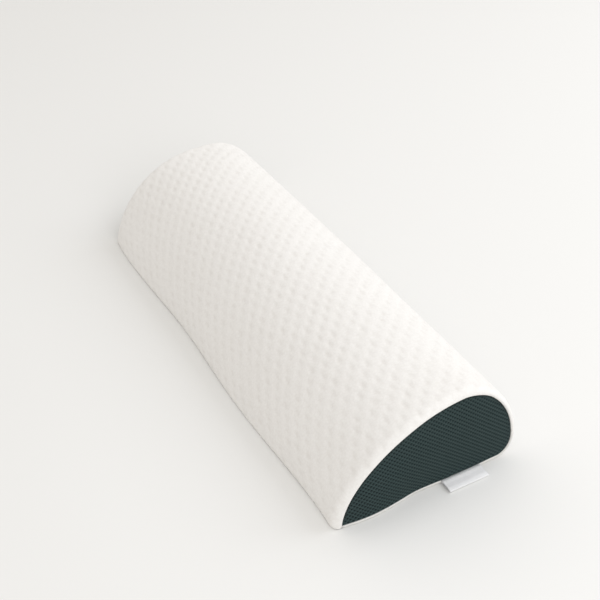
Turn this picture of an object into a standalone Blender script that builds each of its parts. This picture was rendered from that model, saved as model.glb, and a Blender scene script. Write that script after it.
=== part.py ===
"""Half-moon lumbar support cushion: foam core, inner sleeve, zipped cover and its trim.

X runs along the cushion, with the labelled end at +X. Y runs from the thin front edge at -Y
to the blunt rear wall at +Y, where the zip is. Z is up from the surface the cushion lies on,
and the origin is the middle of the flat base. Everything is in metres.
"""

import math

import bmesh
import bpy
import numpy as np
from mathutils import Matrix, Vector

# Overall form. The section is a D: a superellipse rises from the front floor edge to the
# crest, a second one falls to the rear wall, and a round edge leads under the base.
LENGTH = 0.520
WIDTH = 0.203
HEIGHT = 0.107
CREST_FROM_FRONT = 0.1345
REAR_EDGE_RADIUS = 0.022
FRONT_EXPONENTS = (2.1, 1.75)
REAR_EXPONENTS = (1.75, 1.75)
ARCH_ROLL = 0.0075
BASE_ROLL = 0.0024

# How finely the form is drawn
FORMULA_POINTS = 400
ARCH_POINTS = 36
LOWER_REAR_POINTS = 9
ROLL_STEPS = 4

# Layers, from the outside in
FIT_GAP = 0.0003
COVER_THICKNESS = 0.0020
END_PANEL_THICKNESS = 0.0030
LINER_THICKNESS = 0.0008
INNER_BASE_ROLL = 0.0015
THREAD_DIAMETER = 0.0006
SEAM_GAP = 0.0015

# Zip along the rear wall
ZIP_HEIGHT = 0.027
ZIP_LENGTH = 0.400
ZIP_WINDOW_HALF = 0.0050
WINDOW_PAST_STOP = 0.0080
TAPE_THICKNESS = 0.0006
TAPE_EASE = 0.00045
TAPE_WIDTH = 0.0125
TAPE_OVERLAP = 0.020
TAPE_POINTS = 6
ROW_GAP_HALF = 0.00065
COIL_WIDTH = 0.00255
COIL_THICKNESS = 0.0017
STOP_LENGTH = 0.0040
STOP_RISE = 0.0003
SLIDER_LENGTH = 0.0110
SLIDER_PLATE = 0.00095
SLIDER_FLANGE = 0.00085
SLIDER_SLOT = 0.00045
POST_WIDTH = 0.0006
POST_LENGTH = 0.0023
CROWN_LENGTH = 0.0073
CROWN_WIDTH = 0.0018
CROWN_BAR = 0.0009
CROWN_CLEAR = 0.0021
PULL_LENGTH = 0.0210
PULL_WIDTH = 0.0050
PULL_THICKNESS = 0.0009
PULL_BAR_DIAMETER = 0.0012
PULL_WINDOW = (0.0054, 0.0034)
PULL_PLAY = 0.00035
WELD_DEPTH = 0.0002

# Labels
BRAND_LABEL_WIDTH = 0.044
BRAND_LABEL_REACH = 0.0135
BRAND_LABEL_FROM_FRONT = 0.1385
LABEL_PLY = 0.0003
BRAND_LABEL_LIFT = 0.0022
CARE_LABEL_WIDTH = 0.024
CARE_LABEL_DROP = 0.020
CARE_LABEL_PAST_ZIP = 0.012

# Colours (linear), roughness and metallic value of each material
FINISHES = {
    "white_jacquard": ((0.88, 0.86, 0.82), 0.90, 0.0),
    "base_knit": ((0.80, 0.78, 0.74), 0.92, 0.0),
    "spacer_mesh": ((0.030, 0.047, 0.050), 0.85, 0.0),
    "liner_knit": ((0.84, 0.84, 0.82), 0.90, 0.0),
    "foam": ((0.90, 0.86, 0.70), 0.95, 0.0),
    "thread": ((0.85, 0.84, 0.80), 0.70, 0.0),
    "label_satin": ((0.88, 0.88, 0.88), 0.45, 0.0),
    "zip_tape": ((0.80, 0.79, 0.76), 0.85, 0.0),
    "nylon": ((0.82, 0.81, 0.78), 0.35, 0.0),
    "zip_metal": ((0.55, 0.55, 0.54), 0.30, 1.0),
}

# Places worked out from the sizes above
CREST = CREST_FROM_FRONT - WIDTH / 2
ZIP_PLANE_DEPTH = COVER_THICKNESS + TAPE_EASE + TAPE_THICKNESS / 2
SLIDER_BACK = TAPE_THICKNESS / 2 + SLIDER_SLOT + SLIDER_PLATE
LINER_DEPTH = COVER_THICKNESS + FIT_GAP
ZIP_RELIEF = ZIP_PLANE_DEPTH + SLIDER_BACK + 2 * FIT_GAP - LINER_DEPTH
FOAM_DEPTH = LINER_DEPTH + LINER_THICKNESS + FIT_GAP
LINER_END_DEPTH = END_PANEL_THICKNESS + FIT_GAP
FOAM_END_DEPTH = LINER_END_DEPTH + LINER_THICKNESS + FIT_GAP
COIL_BASE = TAPE_THICKNESS / 2 + FIT_GAP
COIL_TOP = COIL_BASE + COIL_THICKNESS
SLIDER_HALF_WIDTH = ROW_GAP_HALF + COIL_WIDTH + SLIDER_SLOT + SLIDER_FLANGE
WINDOW_HALF_LENGTH = ZIP_LENGTH / 2 + STOP_LENGTH + WINDOW_PAST_STOP
SLIDER_REST = -(ZIP_LENGTH / 2 - SLIDER_LENGTH / 2)


def clear_scene():
    """Remove every object that the scene starts with."""
    for obj in list(bpy.data.objects):
        bpy.data.objects.remove(obj, do_unlink=True)


def new_collection(name):
    collection = bpy.data.collections.new(name)
    bpy.context.scene.collection.children.link(collection)
    return collection


def material(finish):
    """The material of a finish, with the object's own copy of it."""
    colour, roughness, metallic = FINISHES[finish]
    made = bpy.data.materials.new(finish)
    made.use_nodes = True
    shader = made.node_tree.nodes["Principled BSDF"]
    shader.inputs["Base Color"].default_value = (*colour, 1.0)
    shader.inputs["Roughness"].default_value = roughness
    shader.inputs["Metallic"].default_value = metallic
    made.diffuse_color = (*colour, 1.0)
    return made


def add_object(name, bm, finish, parent=None):
    """Turn a bmesh into an object of the cushion, smooth except at its sharp edges."""
    mesh = bpy.data.meshes.new(name)
    bm.to_mesh(mesh)
    bm.free()
    mesh.shade_smooth()
    mesh.set_sharp_from_angle(angle=math.radians(35))
    obj = bpy.data.objects.new(name, mesh)
    obj.data.materials.append(material(finish))
    PARTS.objects.link(obj)
    obj.parent = parent
    return obj


def add_cutter(name, bm, parent=None):
    """Turn a bmesh into a hidden helper for a Boolean."""
    mesh = bpy.data.meshes.new(name)
    bm.to_mesh(mesh)
    bm.free()
    obj = bpy.data.objects.new(name, mesh)
    CUTTERS.objects.link(obj)
    obj.parent = parent
    obj.hide_render = True
    obj.display_type = "WIRE"
    return obj


def boolean(obj, operation, other):
    modifier = obj.modifiers.new(operation.lower(), "BOOLEAN")
    modifier.operation = operation
    modifier.object = other
    modifier.solver = "EXACT"


def thicken(obj, thickness):
    """Give an open surface its thickness, inwards from its outer side."""
    modifier = obj.modifiers.new("thickness", "SOLIDIFY")
    modifier.thickness = thickness
    modifier.offset = -1.0
    modifier.use_even_offset = True


def box(low, high):
    """A box between two corners, as a bmesh."""
    bm = bmesh.new()
    size = [b - a for a, b in zip(low, high)]
    middle = [(a + b) / 2 for a, b in zip(low, high)]
    place = Matrix.Translation(middle) @ Matrix.Diagonal((*size, 1.0))
    bmesh.ops.create_cube(bm, size=1.0, matrix=place)
    return bm


def round_edges(bm, radius, along, segments=3):
    """Bevel the edges of a bmesh that run along one axis, given by its number."""
    edges = []
    for edge in bm.edges:
        run = edge.verts[1].co - edge.verts[0].co
        if abs(run[along]) > 0.99 * run.length:
            edges.append(edge)
    bmesh.ops.bevel(
        bm, geom=edges, offset=radius, segments=segments, profile=0.5, affect="EDGES", material=-1
    )
    return bm


# ---------------------------------------------------------------- the D section


def outline_by_formula():
    """The outer section from the front floor edge over the crest to the end of the rear edge."""
    turn = np.linspace(0.0, math.pi / 2, FORMULA_POINTS)
    cos = np.clip(np.cos(turn), 0.0, 1.0)
    sin = np.clip(np.sin(turn), 0.0, 1.0)
    along, up = FRONT_EXPONENTS
    front_y = CREST - CREST_FROM_FRONT * cos ** (2 / along)
    front_z = HEIGHT * sin ** (2 / up)
    along, up = REAR_EXPONENTS
    rear_y = CREST + (WIDTH / 2 - CREST) * sin ** (2 / along)
    rear_z = REAR_EDGE_RADIUS + (HEIGHT - REAR_EDGE_RADIUS) * cos ** (2 / up)
    edge_y = WIDTH / 2 - REAR_EDGE_RADIUS * (1 - cos)
    edge_z = REAR_EDGE_RADIUS * (1 - sin)
    y = np.concatenate([front_y, rear_y[1:], edge_y[1:]])
    z = np.concatenate([front_z, rear_z[1:], edge_z[1:]])
    return np.stack([y, z], axis=1)


def lengths_along(line):
    steps = np.hypot(*np.diff(line, axis=0).T)
    return np.concatenate([[0.0], np.cumsum(steps)])


def resample(line, start, end, count):
    """Evenly spaced points between two lengths along a line."""
    at = lengths_along(line)
    wanted = np.linspace(start, end, count)
    return np.stack([np.interp(wanted, at, line[:, 0]), np.interp(wanted, at, line[:, 1])], axis=1)


def outward_normals(line, full_line):
    """The outward normal of the full line nearest to each point of a line drawn on it."""
    tangent = np.gradient(full_line, axis=0)
    tangent /= np.hypot(*tangent.T)[:, None]
    normal = np.stack([-tangent[:, 1], tangent[:, 0]], axis=1)
    nearest = [np.hypot(*(full_line - point).T).argmin() for point in line]
    return normal[nearest]


def smooth_step(value):
    value = np.clip(value, 0.0, 1.0)
    return value * value * (3 - 2 * value)


OUTLINE = outline_by_formula()
REACH = lengths_along(OUTLINE)
BEHIND_CREST = OUTLINE[:, 0] > CREST
ZIP_REACH = float(
    np.interp(-ZIP_HEIGHT, -OUTLINE[BEHIND_CREST][:, 1], REACH[BEHIND_CREST])
)
UPPER = resample(OUTLINE, 0.0, ZIP_REACH - SEAM_GAP / 2, ARCH_POINTS)
LOWER = resample(OUTLINE, ZIP_REACH + SEAM_GAP / 2, REACH[-1], LOWER_REAR_POINTS)
UPPER_NORMALS = outward_normals(UPPER, OUTLINE)
LOWER_NORMALS = outward_normals(LOWER, OUTLINE)
UPPER_NORMALS[0] = (-1.0, 0.0)
LOWER_NORMALS[-1] = (0.0, -1.0)


def zip_relief(line):
    """How strongly the inner layers stand back behind the zip: 1 beside it, 0 far from it."""
    height = line[:, 1]
    fade_in = smooth_step(height / (ZIP_HEIGHT - TAPE_WIDTH))
    fade_out = 1 - smooth_step((height - ZIP_HEIGHT - TAPE_WIDTH) / TAPE_WIDTH)
    return np.where(line[:, 0] > CREST, fade_in * fade_out, 0.0)


def rolled_in(radius, from_end):
    """How far a rounded edge has moved inwards at a distance from the end plane."""
    short = np.maximum(radius - from_end, 0.0)
    return radius - np.sqrt(np.maximum(radius**2 - short**2, 0.0))


class Layer:
    """One skin of the cushion: the outer form moved inwards, with its ends rolled over."""

    def __init__(self, depth, end_depth, arch_roll, base_roll, relief=0.0, front_lift=0.0):
        self.depth = depth
        self.end = LENGTH / 2 - end_depth
        self.arch_roll = arch_roll
        self.base_roll = base_roll
        self.relief = relief
        self.front_lift = front_lift

    def stations(self):
        """Distances from the end plane at which the rolled edge is drawn, the end first."""
        turn = np.linspace(math.pi / 2, 0.0, ROLL_STEPS + 1)
        return [float(e) for e in self.arch_roll * (1 - np.sin(turn))]

    def upper(self, from_end, extra=0.0):
        """The arch, from the front floor edge to the zip's height."""
        inset = self.depth + extra + rolled_in(self.arch_roll, from_end)
        inset = inset + self.relief * zip_relief(UPPER)
        line = UPPER - UPPER_NORMALS * inset[:, None]
        floor = self.depth + extra + rolled_in(self.base_roll, from_end) + self.front_lift
        rise = floor / line[1, 1]
        line[0] += (line[1] - line[0]) * rise
        return line

    def lower(self, from_end, extra=0.0):
        """The rear wall below the zip and the round edge, down to the flat base."""
        share = np.linspace(0.0, 1.0, len(LOWER))
        roll = self.arch_roll + (self.base_roll - self.arch_roll) * smooth_step(share)
        inset = self.depth + extra + rolled_in(roll, from_end)
        inset = inset + self.relief * zip_relief(LOWER)
        return LOWER - LOWER_NORMALS * inset[:, None]

    def loop(self, from_end, extra=0.0):
        """The whole section: arch, rear wall and round edge; the base closes it."""
        return np.concatenate([self.upper(from_end, extra), self.lower(from_end, extra)])


COVER = Layer(0.0, 0.0, ARCH_ROLL, BASE_ROLL, front_lift=FIT_GAP)
LINER = Layer(
    LINER_DEPTH, LINER_END_DEPTH, ARCH_ROLL - LINER_DEPTH, INNER_BASE_ROLL, ZIP_RELIEF
)
FOAM = Layer(FOAM_DEPTH, FOAM_END_DEPTH, ARCH_ROLL - FOAM_DEPTH, INNER_BASE_ROLL, ZIP_RELIEF)


def loft(rings, closed=False, capped=()):
    """A surface through rings of equal count, each (x, points), with faces outwards."""
    bm = bmesh.new()
    rows = []
    for x, points in rings:
        rows.append([bm.verts.new((x, float(y), float(z))) for y, z in points])
    count = len(rows[0])
    last = count if closed else count - 1
    for row, beyond in zip(rows, rows[1:]):
        for i in range(last):
            j = (i + 1) % count
            bm.faces.new((row[i], beyond[i], beyond[j], row[j]))
    if "low" in capped:
        bm.faces.new(rows[0])
    if "high" in capped:
        bm.faces.new(reversed(rows[-1]))
    return bm


def full_length_rings(layer, line):
    """Rings from the -X end to the +X end of a layer; line gives a section's points."""
    stations = layer.stations()
    rings = [(e - layer.end, line(e)) for e in stations]
    rings += [(layer.end - e, line(e)) for e in reversed(stations)]
    return rings


# ---------------------------------------------------------------- fabric and foam


def base_front(from_end):
    """Where the base panel's front edge lies, clear of the arch panel's rolled wall."""
    short = ARCH_ROLL - from_end
    inner = ARCH_ROLL - COVER_THICKNESS - SEAM_GAP
    if short <= 0:
        return COVER_THICKNESS + SEAM_GAP
    if short < inner:
        return ARCH_ROLL - math.sqrt(inner**2 - short**2)
    return ARCH_ROLL + SEAM_GAP


def base_line(from_end):
    """The base panel's section, from below the zip round to its front edge."""
    lower = COVER.lower(from_end)
    front = (-WIDTH / 2 + base_front(from_end), lower[-1, 1])
    return np.concatenate([lower, [front]])


def make_cover(zip_window):
    """The arch panel and the base panel, with the zip's window cut from their edges."""
    top = add_object(
        "cover_top_panel", loft(full_length_rings(COVER, COVER.upper)), "white_jacquard"
    )
    base = add_object("cover_base_panel", loft(full_length_rings(COVER, base_line)), "base_knit")
    for panel in (top, base):
        thicken(panel, COVER_THICKNESS)
        boolean(panel, "DIFFERENCE", zip_window)


def make_end_panel(name, side):
    """A spacer-mesh panel that fills one end, inside the rolled edge of the cover."""
    outline = COVER.loop(0.0, SEAM_GAP)
    outer, inner = LENGTH / 2, LENGTH / 2 - END_PANEL_THICKNESS
    rings = [(inner, outline), (outer, outline)]
    bm = loft(rings, closed=True, capped=("low", "high"))
    if side < 0:
        bmesh.ops.scale(bm, vec=(-1, 1, 1), verts=bm.verts)
        bmesh.ops.reverse_faces(bm, faces=bm.faces)
    add_object(name, bm, "spacer_mesh")


def make_liner():
    """The inner sleeve: a tube round the foam and a rolled cap at each end."""
    reach = LINER.end - LINER.arch_roll - 2 * FIT_GAP
    tube = LINER.loop(LINER.arch_roll)
    wrap = add_object(
        "liner_wrap", loft([(-reach, tube), (reach, tube)], closed=True), "liner_knit"
    )
    thicken(wrap, LINER_THICKNESS)
    for name, side in (("liner_end_near", 1), ("liner_end_far", -1)):
        rings = [(LINER.end - e, LINER.loop(e)) for e in reversed(LINER.stations())]
        bm = loft(rings, closed=True, capped=("high",))
        if side < 0:
            bmesh.ops.scale(bm, vec=(-1, 1, 1), verts=bm.verts)
            bmesh.ops.reverse_faces(bm, faces=bm.faces)
        thicken(add_object(name, bm, "liner_knit"), LINER_THICKNESS)


def make_foam():
    """The moulded core, one solid block with rounded end edges."""
    rings = full_length_rings(FOAM, FOAM.loop)
    add_object("foam_core", loft(rings, closed=True, capped=("low", "high")), "foam")


# ---------------------------------------------------------------- seams


def make_thread(name, points, closed=False):
    """A sewing thread as a fine round tube through points."""
    curve = bpy.data.curves.new(name, "CURVE")
    curve.dimensions = "3D"
    curve.bevel_depth = THREAD_DIAMETER / 2
    curve.bevel_resolution = 2
    curve.use_fill_caps = True
    spline = curve.splines.new("POLY")
    spline.points.add(len(points) - 1)
    for point, place in zip(spline.points, points):
        point.co = (*place, 1.0)
    spline.use_cyclic_u = closed
    obj = bpy.data.objects.new(name, curve)
    obj.data.materials.append(material("thread"))
    PARTS.objects.link(obj)


def make_end_thread(name, side):
    """The thread of the seam round one end panel."""
    x = side * (LENGTH / 2 - COVER_THICKNESS / 2)
    loop = COVER.loop(0.0, SEAM_GAP / 2 + FIT_GAP / 2)
    make_thread(name, [(x, float(y), float(z)) for y, z in loop], closed=True)


def make_front_thread():
    """The thread of the seam between arch panel and base panel, along the front edge."""
    y = -WIDTH / 2 + COVER_THICKNESS + SEAM_GAP / 2
    reach = LENGTH / 2 - ARCH_ROLL
    z = COVER_THICKNESS / 2
    make_thread("seam_thread_front", [(-reach, y, z), (reach, y, z)])


def make_rear_thread(name, side, zip_frame):
    """The thread of the rear seam, from the zip's window to the rolled end."""
    start = WINDOW_HALF_LENGTH + FIT_GAP
    end = LENGTH / 2 - ARCH_ROLL
    up = ZIP_PLANE_DEPTH - COVER_THICKNESS / 2
    ends = [zip_frame @ Vector((-side * u, 0.0, up)) for u in (start, end)]
    make_thread(name, [tuple(place) for place in ends])


# ---------------------------------------------------------------- zip


def make_zip_frame():
    """Axes of the zip: u towards -X, v up the rear wall, w outwards, on the tapes' plane."""
    index = int(np.abs(REACH - ZIP_REACH).argmin())
    run = OUTLINE[index - 1] - OUTLINE[index + 1]
    run /= np.hypot(*run)
    up = Vector((0.0, float(run[0]), float(run[1])))
    u = Vector((-1.0, 0.0, 0.0))
    outwards = u.cross(up)
    y, z = resample(OUTLINE, ZIP_REACH, ZIP_REACH, 1)[0]
    origin = Vector((0.0, float(y), float(z))) - outwards * ZIP_PLANE_DEPTH
    frame = Matrix((u, up, outwards)).transposed().to_4x4()
    frame.translation = origin
    return frame


def make_tape(name, side):
    """A woven tape behind the cover's edge; side is 1 above the zip and -1 below it."""
    starts = ZIP_REACH - side * ROW_GAP_HALF
    ends = ZIP_REACH - side * TAPE_WIDTH
    line = resample(OUTLINE, min(starts, ends), max(starts, ends), TAPE_POINTS)
    line = line - outward_normals(line, OUTLINE) * (COVER_THICKNESS + TAPE_EASE)
    reach = ZIP_LENGTH / 2 + TAPE_OVERLAP
    tape = add_object(name, loft([(-reach, line), (reach, line)]), "zip_tape")
    thicken(tape, TAPE_THICKNESS)


def make_coil(name, side, parent):
    """One row of the zip's nylon coil, as the strip that its turns fill."""
    near, far = sorted((side * ROW_GAP_HALF, side * (ROW_GAP_HALF + COIL_WIDTH)))
    bm = box((-ZIP_LENGTH / 2, near, COIL_BASE), (ZIP_LENGTH / 2, far, COIL_TOP))
    round_edges(bm, COIL_THICKNESS / 4, along=0, segments=2)
    add_object(name, bm, "nylon", parent)


def make_stop(name, low_v, high_v, u_start, parent):
    """A stop pressed over the end of the coil."""
    bm = box(
        (u_start, low_v, COIL_BASE), (u_start + STOP_LENGTH, high_v, COIL_TOP + STOP_RISE)
    )
    round_edges(bm, COIL_THICKNESS / 4, along=0, segments=2)
    add_object(name, bm, "zip_metal", parent)


def make_slider(parent):
    """The slider: two plates joined by a post, guide flanges, and the crown for the tab."""
    half = SLIDER_LENGTH / 2
    wide = SLIDER_HALF_WIDTH
    slot = TAPE_THICKNESS / 2 + SLIDER_SLOT
    under = COIL_TOP + SLIDER_SLOT
    top = under + SLIDER_PLATE
    front_plate = round_edges(box((-half, -wide, under), (half, wide, top)), wide / 2, along=2)
    slider = add_object("zip_slider", front_plate, "zip_metal", parent)
    slider.location.x = SLIDER_REST
    back_plate = round_edges(
        box((-half, -wide, -SLIDER_BACK), (half, wide, -slot)), wide / 2, along=2
    )
    post = box(
        (-half + POST_LENGTH / 2, -POST_WIDTH / 2, -slot - WELD_DEPTH),
        (-half + POST_LENGTH * 1.5, POST_WIDTH / 2, under + WELD_DEPTH),
    )
    pieces = [("back_plate", back_plate), ("post", post)]
    for name, side in (("upper_flange", 1), ("lower_flange", -1)):
        near, far = sorted((side * (wide - SLIDER_FLANGE), side * (wide - WELD_DEPTH)))
        flange = box((-half + wide / 2, near, slot), (half - wide / 2, far, under + WELD_DEPTH))
        pieces.append((name, flange))
    reach = CROWN_LENGTH / 2
    crown_top = top + CROWN_CLEAR + CROWN_BAR
    bar = box(
        (-reach, -CROWN_WIDTH / 2, top + CROWN_CLEAR), (reach, CROWN_WIDTH / 2, crown_top)
    )
    pieces.append(("crown_bar", round_edges(bar, CROWN_BAR / 3, along=1, segments=2)))
    for name, side in (("crown_leg_front", -1), ("crown_leg_back", 1)):
        near, far = sorted((side * (reach - CROWN_BAR), side * (reach - WELD_DEPTH)))
        leg = box(
            (near, -CROWN_WIDTH / 2, top - WELD_DEPTH),
            (far, CROWN_WIDTH / 2, top + CROWN_CLEAR + WELD_DEPTH),
        )
        pieces.append((name, leg))
    for name, bm in pieces:
        boolean(slider, "UNION", add_cutter(name, bm, slider))
    return slider, top


def make_pull(slider, plate_top):
    """The tab: its round bar sits under the crown, and the origin is the bar's middle."""
    edge = PULL_BAR_DIAMETER / 2
    body = box(
        (-edge, -PULL_WIDTH / 2, -PULL_THICKNESS / 2),
        (PULL_LENGTH, PULL_WIDTH / 2, PULL_THICKNESS / 2),
    )
    round_edges(body, PULL_WIDTH / 4, along=2)
    pull = add_object("zip_pull", body, "zip_metal", slider)
    pull.location.z = plate_top + PULL_PLAY + edge
    window_length, window_width = PULL_WINDOW
    window = box(
        (-edge * 2, -window_width / 2, -PULL_THICKNESS),
        (edge + window_length, window_width / 2, PULL_THICKNESS),
    )
    boolean(pull, "DIFFERENCE", add_cutter("pull_window", window, pull))
    bar = bmesh.new()
    bmesh.ops.create_cone(
        bar,
        cap_ends=True,
        segments=16,
        radius1=edge,
        radius2=edge,
        depth=PULL_WIDTH - PULL_WIDTH / 4,
        matrix=Matrix.Rotation(math.pi / 2, 4, "X"),
    )
    boolean(pull, "UNION", add_cutter("pull_bar", bar, pull))
    return pull


def make_zip(frame):
    """The whole zip in its own frame, an empty on the tapes' plane."""
    line = bpy.data.objects.new("zip_line", None)
    PARTS.objects.link(line)
    line.matrix_world = frame
    make_tape("zip_tape_upper", 1)
    make_tape("zip_tape_lower", -1)
    make_coil("zip_coil_upper", 1, line)
    make_coil("zip_coil_lower", -1, line)
    half = ROW_GAP_HALF + COIL_WIDTH
    closed_end = -ZIP_LENGTH / 2 - FIT_GAP - STOP_LENGTH
    open_end = ZIP_LENGTH / 2 + FIT_GAP
    make_stop("zip_top_stop_upper", ROW_GAP_HALF, half, closed_end, line)
    make_stop("zip_top_stop_lower", -half, -ROW_GAP_HALF, closed_end, line)
    make_stop("zip_bottom_stop", -half, half, open_end, line)
    slider, plate_top = make_slider(line)
    make_pull(slider, plate_top)


def make_zip_window(frame):
    """The cutter that opens the rear seam for the zip."""
    deep = ZIP_PLANE_DEPTH + COVER_THICKNESS
    bm = box(
        (-WINDOW_HALF_LENGTH, -ZIP_WINDOW_HALF, -deep),
        (WINDOW_HALF_LENGTH, ZIP_WINDOW_HALF, deep),
    )
    window = add_cutter("zip_window", bm)
    window.matrix_world = frame
    return window


# ---------------------------------------------------------------- labels


def make_strip(name, path, low, high, along, thickness, finish):
    """A narrow sheet: a path in a plane, drawn out along X or Y, with a thickness."""
    bm = bmesh.new()
    rows = []
    for place in (low, high):
        if along == "Y":
            rows.append([bm.verts.new((a, place, b)) for a, b in path])
        else:
            rows.append([bm.verts.new((place, a, b)) for a, b in path])
    for i in range(len(path) - 1):
        bm.faces.new((rows[0][i], rows[1][i], rows[1][i + 1], rows[0][i + 1]))
    bmesh.ops.recalc_face_normals(bm, faces=bm.faces)
    thicken(add_object(name, bm, finish), thickness)


def make_brand_label():
    """The blank folded label in the near end's base seam: out to its fold, and back below."""
    start = LENGTH / 2 + FIT_GAP
    seam = BASE_ROLL + SEAM_GAP / 2
    reach = BRAND_LABEL_REACH
    lift = BRAND_LABEL_LIFT
    rest = FIT_GAP + LABEL_PLY
    upper = [(0.0, seam + 0.0010), (0.20, seam + 0.0004), (0.55, lift + 0.0006), (0.90, lift)]
    fold = [(0.97, lift - 0.0003), (1.0, lift - 0.0008), (0.97, lift - 0.0013)]
    lower = [(0.90, rest + 0.0002), (0.55, rest), (0.20, rest + 0.0010), (0.0, seam - 0.0003)]
    path = [(start + share * reach, z) for share, z in upper + fold + lower]
    front = -WIDTH / 2 + BRAND_LABEL_FROM_FRONT - BRAND_LABEL_WIDTH / 2
    make_strip(
        "brand_label", path, front, front + BRAND_LABEL_WIDTH, "Y", LABEL_PLY, "label_satin"
    )


def make_care_label(frame):
    """The care label in the rear seam beside the zip, hanging down the rear wall."""
    root = frame @ Vector((0.0, 0.0, ZIP_PLANE_DEPTH - FIT_GAP))
    wall = WIDTH / 2 + FIT_GAP + LABEL_PLY
    path = [
        (root.y, root.z),
        (wall - LABEL_PLY, root.z - LABEL_PLY),
        (wall, root.z - 4 * LABEL_PLY),
        (wall, root.z - CARE_LABEL_DROP),
    ]
    start = WINDOW_HALF_LENGTH + CARE_LABEL_PAST_ZIP
    make_strip(
        "care_label", path, start, start + CARE_LABEL_WIDTH, "X", LABEL_PLY, "label_satin"
    )


clear_scene()
PARTS = new_collection("lumbar_support_cushion")
CUTTERS = new_collection("cutters")

ZIP_FRAME = make_zip_frame()
make_cover(make_zip_window(ZIP_FRAME))
make_end_panel("end_panel_near", 1)
make_end_panel("end_panel_far", -1)
make_liner()
make_foam()
make_end_thread("seam_thread_near", 1)
make_end_thread("seam_thread_far", -1)
make_front_thread()
make_rear_thread("seam_thread_rear_near", 1, ZIP_FRAME)
make_rear_thread("seam_thread_rear_far", -1, ZIP_FRAME)
make_zip(ZIP_FRAME)
make_brand_label()
make_care_label(ZIP_FRAME)
bpy.context.view_layer.update()
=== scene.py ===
"""The looks of a half-moon lumbar cushion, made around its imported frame.

X runs along the cushion with the labelled end at +X, Y from the thin front edge to the rear
wall with the zip, and Z up from the floor. A cloth simulation gives the stuffed form, and the
cover's panels, seams, labels and zip are then laid on that form.
"""

import logging
import math
from dataclasses import dataclass, field
from enum import Enum

import bmesh
import bpy
import numpy as np
from mathutils import Matrix, Vector
from mathutils.kdtree import KDTree


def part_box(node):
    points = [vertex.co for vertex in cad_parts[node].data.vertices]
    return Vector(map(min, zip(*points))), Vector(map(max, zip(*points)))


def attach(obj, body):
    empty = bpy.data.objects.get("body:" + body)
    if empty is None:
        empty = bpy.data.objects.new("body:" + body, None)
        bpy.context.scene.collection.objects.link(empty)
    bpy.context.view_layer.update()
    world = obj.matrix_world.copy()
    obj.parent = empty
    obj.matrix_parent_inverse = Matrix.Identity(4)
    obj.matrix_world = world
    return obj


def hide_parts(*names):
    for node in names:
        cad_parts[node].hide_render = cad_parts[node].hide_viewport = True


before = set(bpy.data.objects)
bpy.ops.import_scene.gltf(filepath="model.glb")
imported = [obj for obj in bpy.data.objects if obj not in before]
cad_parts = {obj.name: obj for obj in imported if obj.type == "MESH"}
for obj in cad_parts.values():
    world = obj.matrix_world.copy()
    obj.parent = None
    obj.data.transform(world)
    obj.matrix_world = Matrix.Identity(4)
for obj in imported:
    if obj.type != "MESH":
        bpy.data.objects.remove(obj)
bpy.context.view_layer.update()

LOG = logging.getLogger("lumbar_cushion")
FABRIC_MAP = "fabric"
MM = 0.001
Pair = tuple[float, float]
Triple = tuple[float, float, float]


class End(Enum):
    """The two ends of the cushion, and the way along X in which each faces."""

    NEAR = 1
    FAR = -1


class Stitch(Enum):
    """How a knitted face is built, as the pitch of its wales and of its courses."""

    JACQUARD = (0.95 * MM, 0.80 * MM)
    PLAIN = (1.10 * MM, 0.85 * MM)
    FINE = (0.60 * MM, 0.50 * MM)


# ---------------------------------------------------------------- helpers on meshes


def smooth_step(value: np.ndarray) -> np.ndarray:
    """Ease a value from 0 to 1 with level ends."""
    value = np.clip(value, 0.0, 1.0)
    return value * value * (3.0 - 2.0 * value)


def lengths(rows: np.ndarray) -> np.ndarray:
    """The length of each row."""
    return np.hypot.reduce(rows, axis=1)


def unit(rows: np.ndarray) -> np.ndarray:
    """Rows scaled to a length of one."""
    return rows / np.maximum(lengths(rows), 1e-9)[:, None]


def run_along(path: np.ndarray) -> np.ndarray:
    """How far along a path each of its points is."""
    return np.concatenate([[0.0], np.cumsum(lengths(np.diff(path, axis=0)))])


def read_at(where: np.ndarray, run: np.ndarray, table: np.ndarray) -> np.ndarray:
    """The rows of a table at some places of its run."""
    return np.stack([np.interp(where, run, column) for column in table.T], axis=-1)


def gap_to(places: np.ndarray, line: np.ndarray) -> np.ndarray:
    """How far each place, as Y and Z, is from a line's nearest point."""
    return np.hypot(places[:, 0, None] - line[:, 0], places[:, 1, None] - line[:, 1]).min(axis=1)


def lattice(
    flat: np.ndarray, first: tuple[float, float], second: tuple[float, float]
) -> tuple[np.ndarray, np.ndarray, list[np.ndarray]]:
    """Find points on a slanted lattice.

    Args:
        flat: Places on the cloth.
        first: One step of the lattice.
        second: The other step.

    Returns:
        The lattice's two steps as columns, each place in steps, and the nine nodes round it.
    """
    steps = np.array([first, second]).T
    cell = flat @ np.linalg.inv(steps).T
    round_it = [np.round(cell) + (i, j) for i in (-1, 0, 1) for j in (-1, 0, 1)]
    return steps, cell, round_it


def extrude(
    bm: bmesh.types.BMesh, edges: list[bmesh.types.BMEdge]
) -> tuple[list[bmesh.types.BMVert], list[bmesh.types.BMEdge]]:
    """Extrude open edges in place.

    Args:
        bm: The mesh.
        edges: Its open edges.

    Returns:
        The new vertices and the new edges.
    """
    new = bmesh.ops.extrude_edge_only(bm, edges=edges)["geom"]
    verts = [item for item in new if isinstance(item, bmesh.types.BMVert)]
    return verts, [item for item in new if isinstance(item, bmesh.types.BMEdge)]


def put(verts: list[bmesh.types.BMVert], places: np.ndarray) -> None:
    """Put a bmesh's vertices at new places."""
    for vert, place in zip(verts, places):
        vert.co = place


def link(obj: bpy.types.Object) -> bpy.types.Object:
    """Put an object in the scene."""
    bpy.context.scene.collection.objects.link(obj)
    return obj


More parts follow.
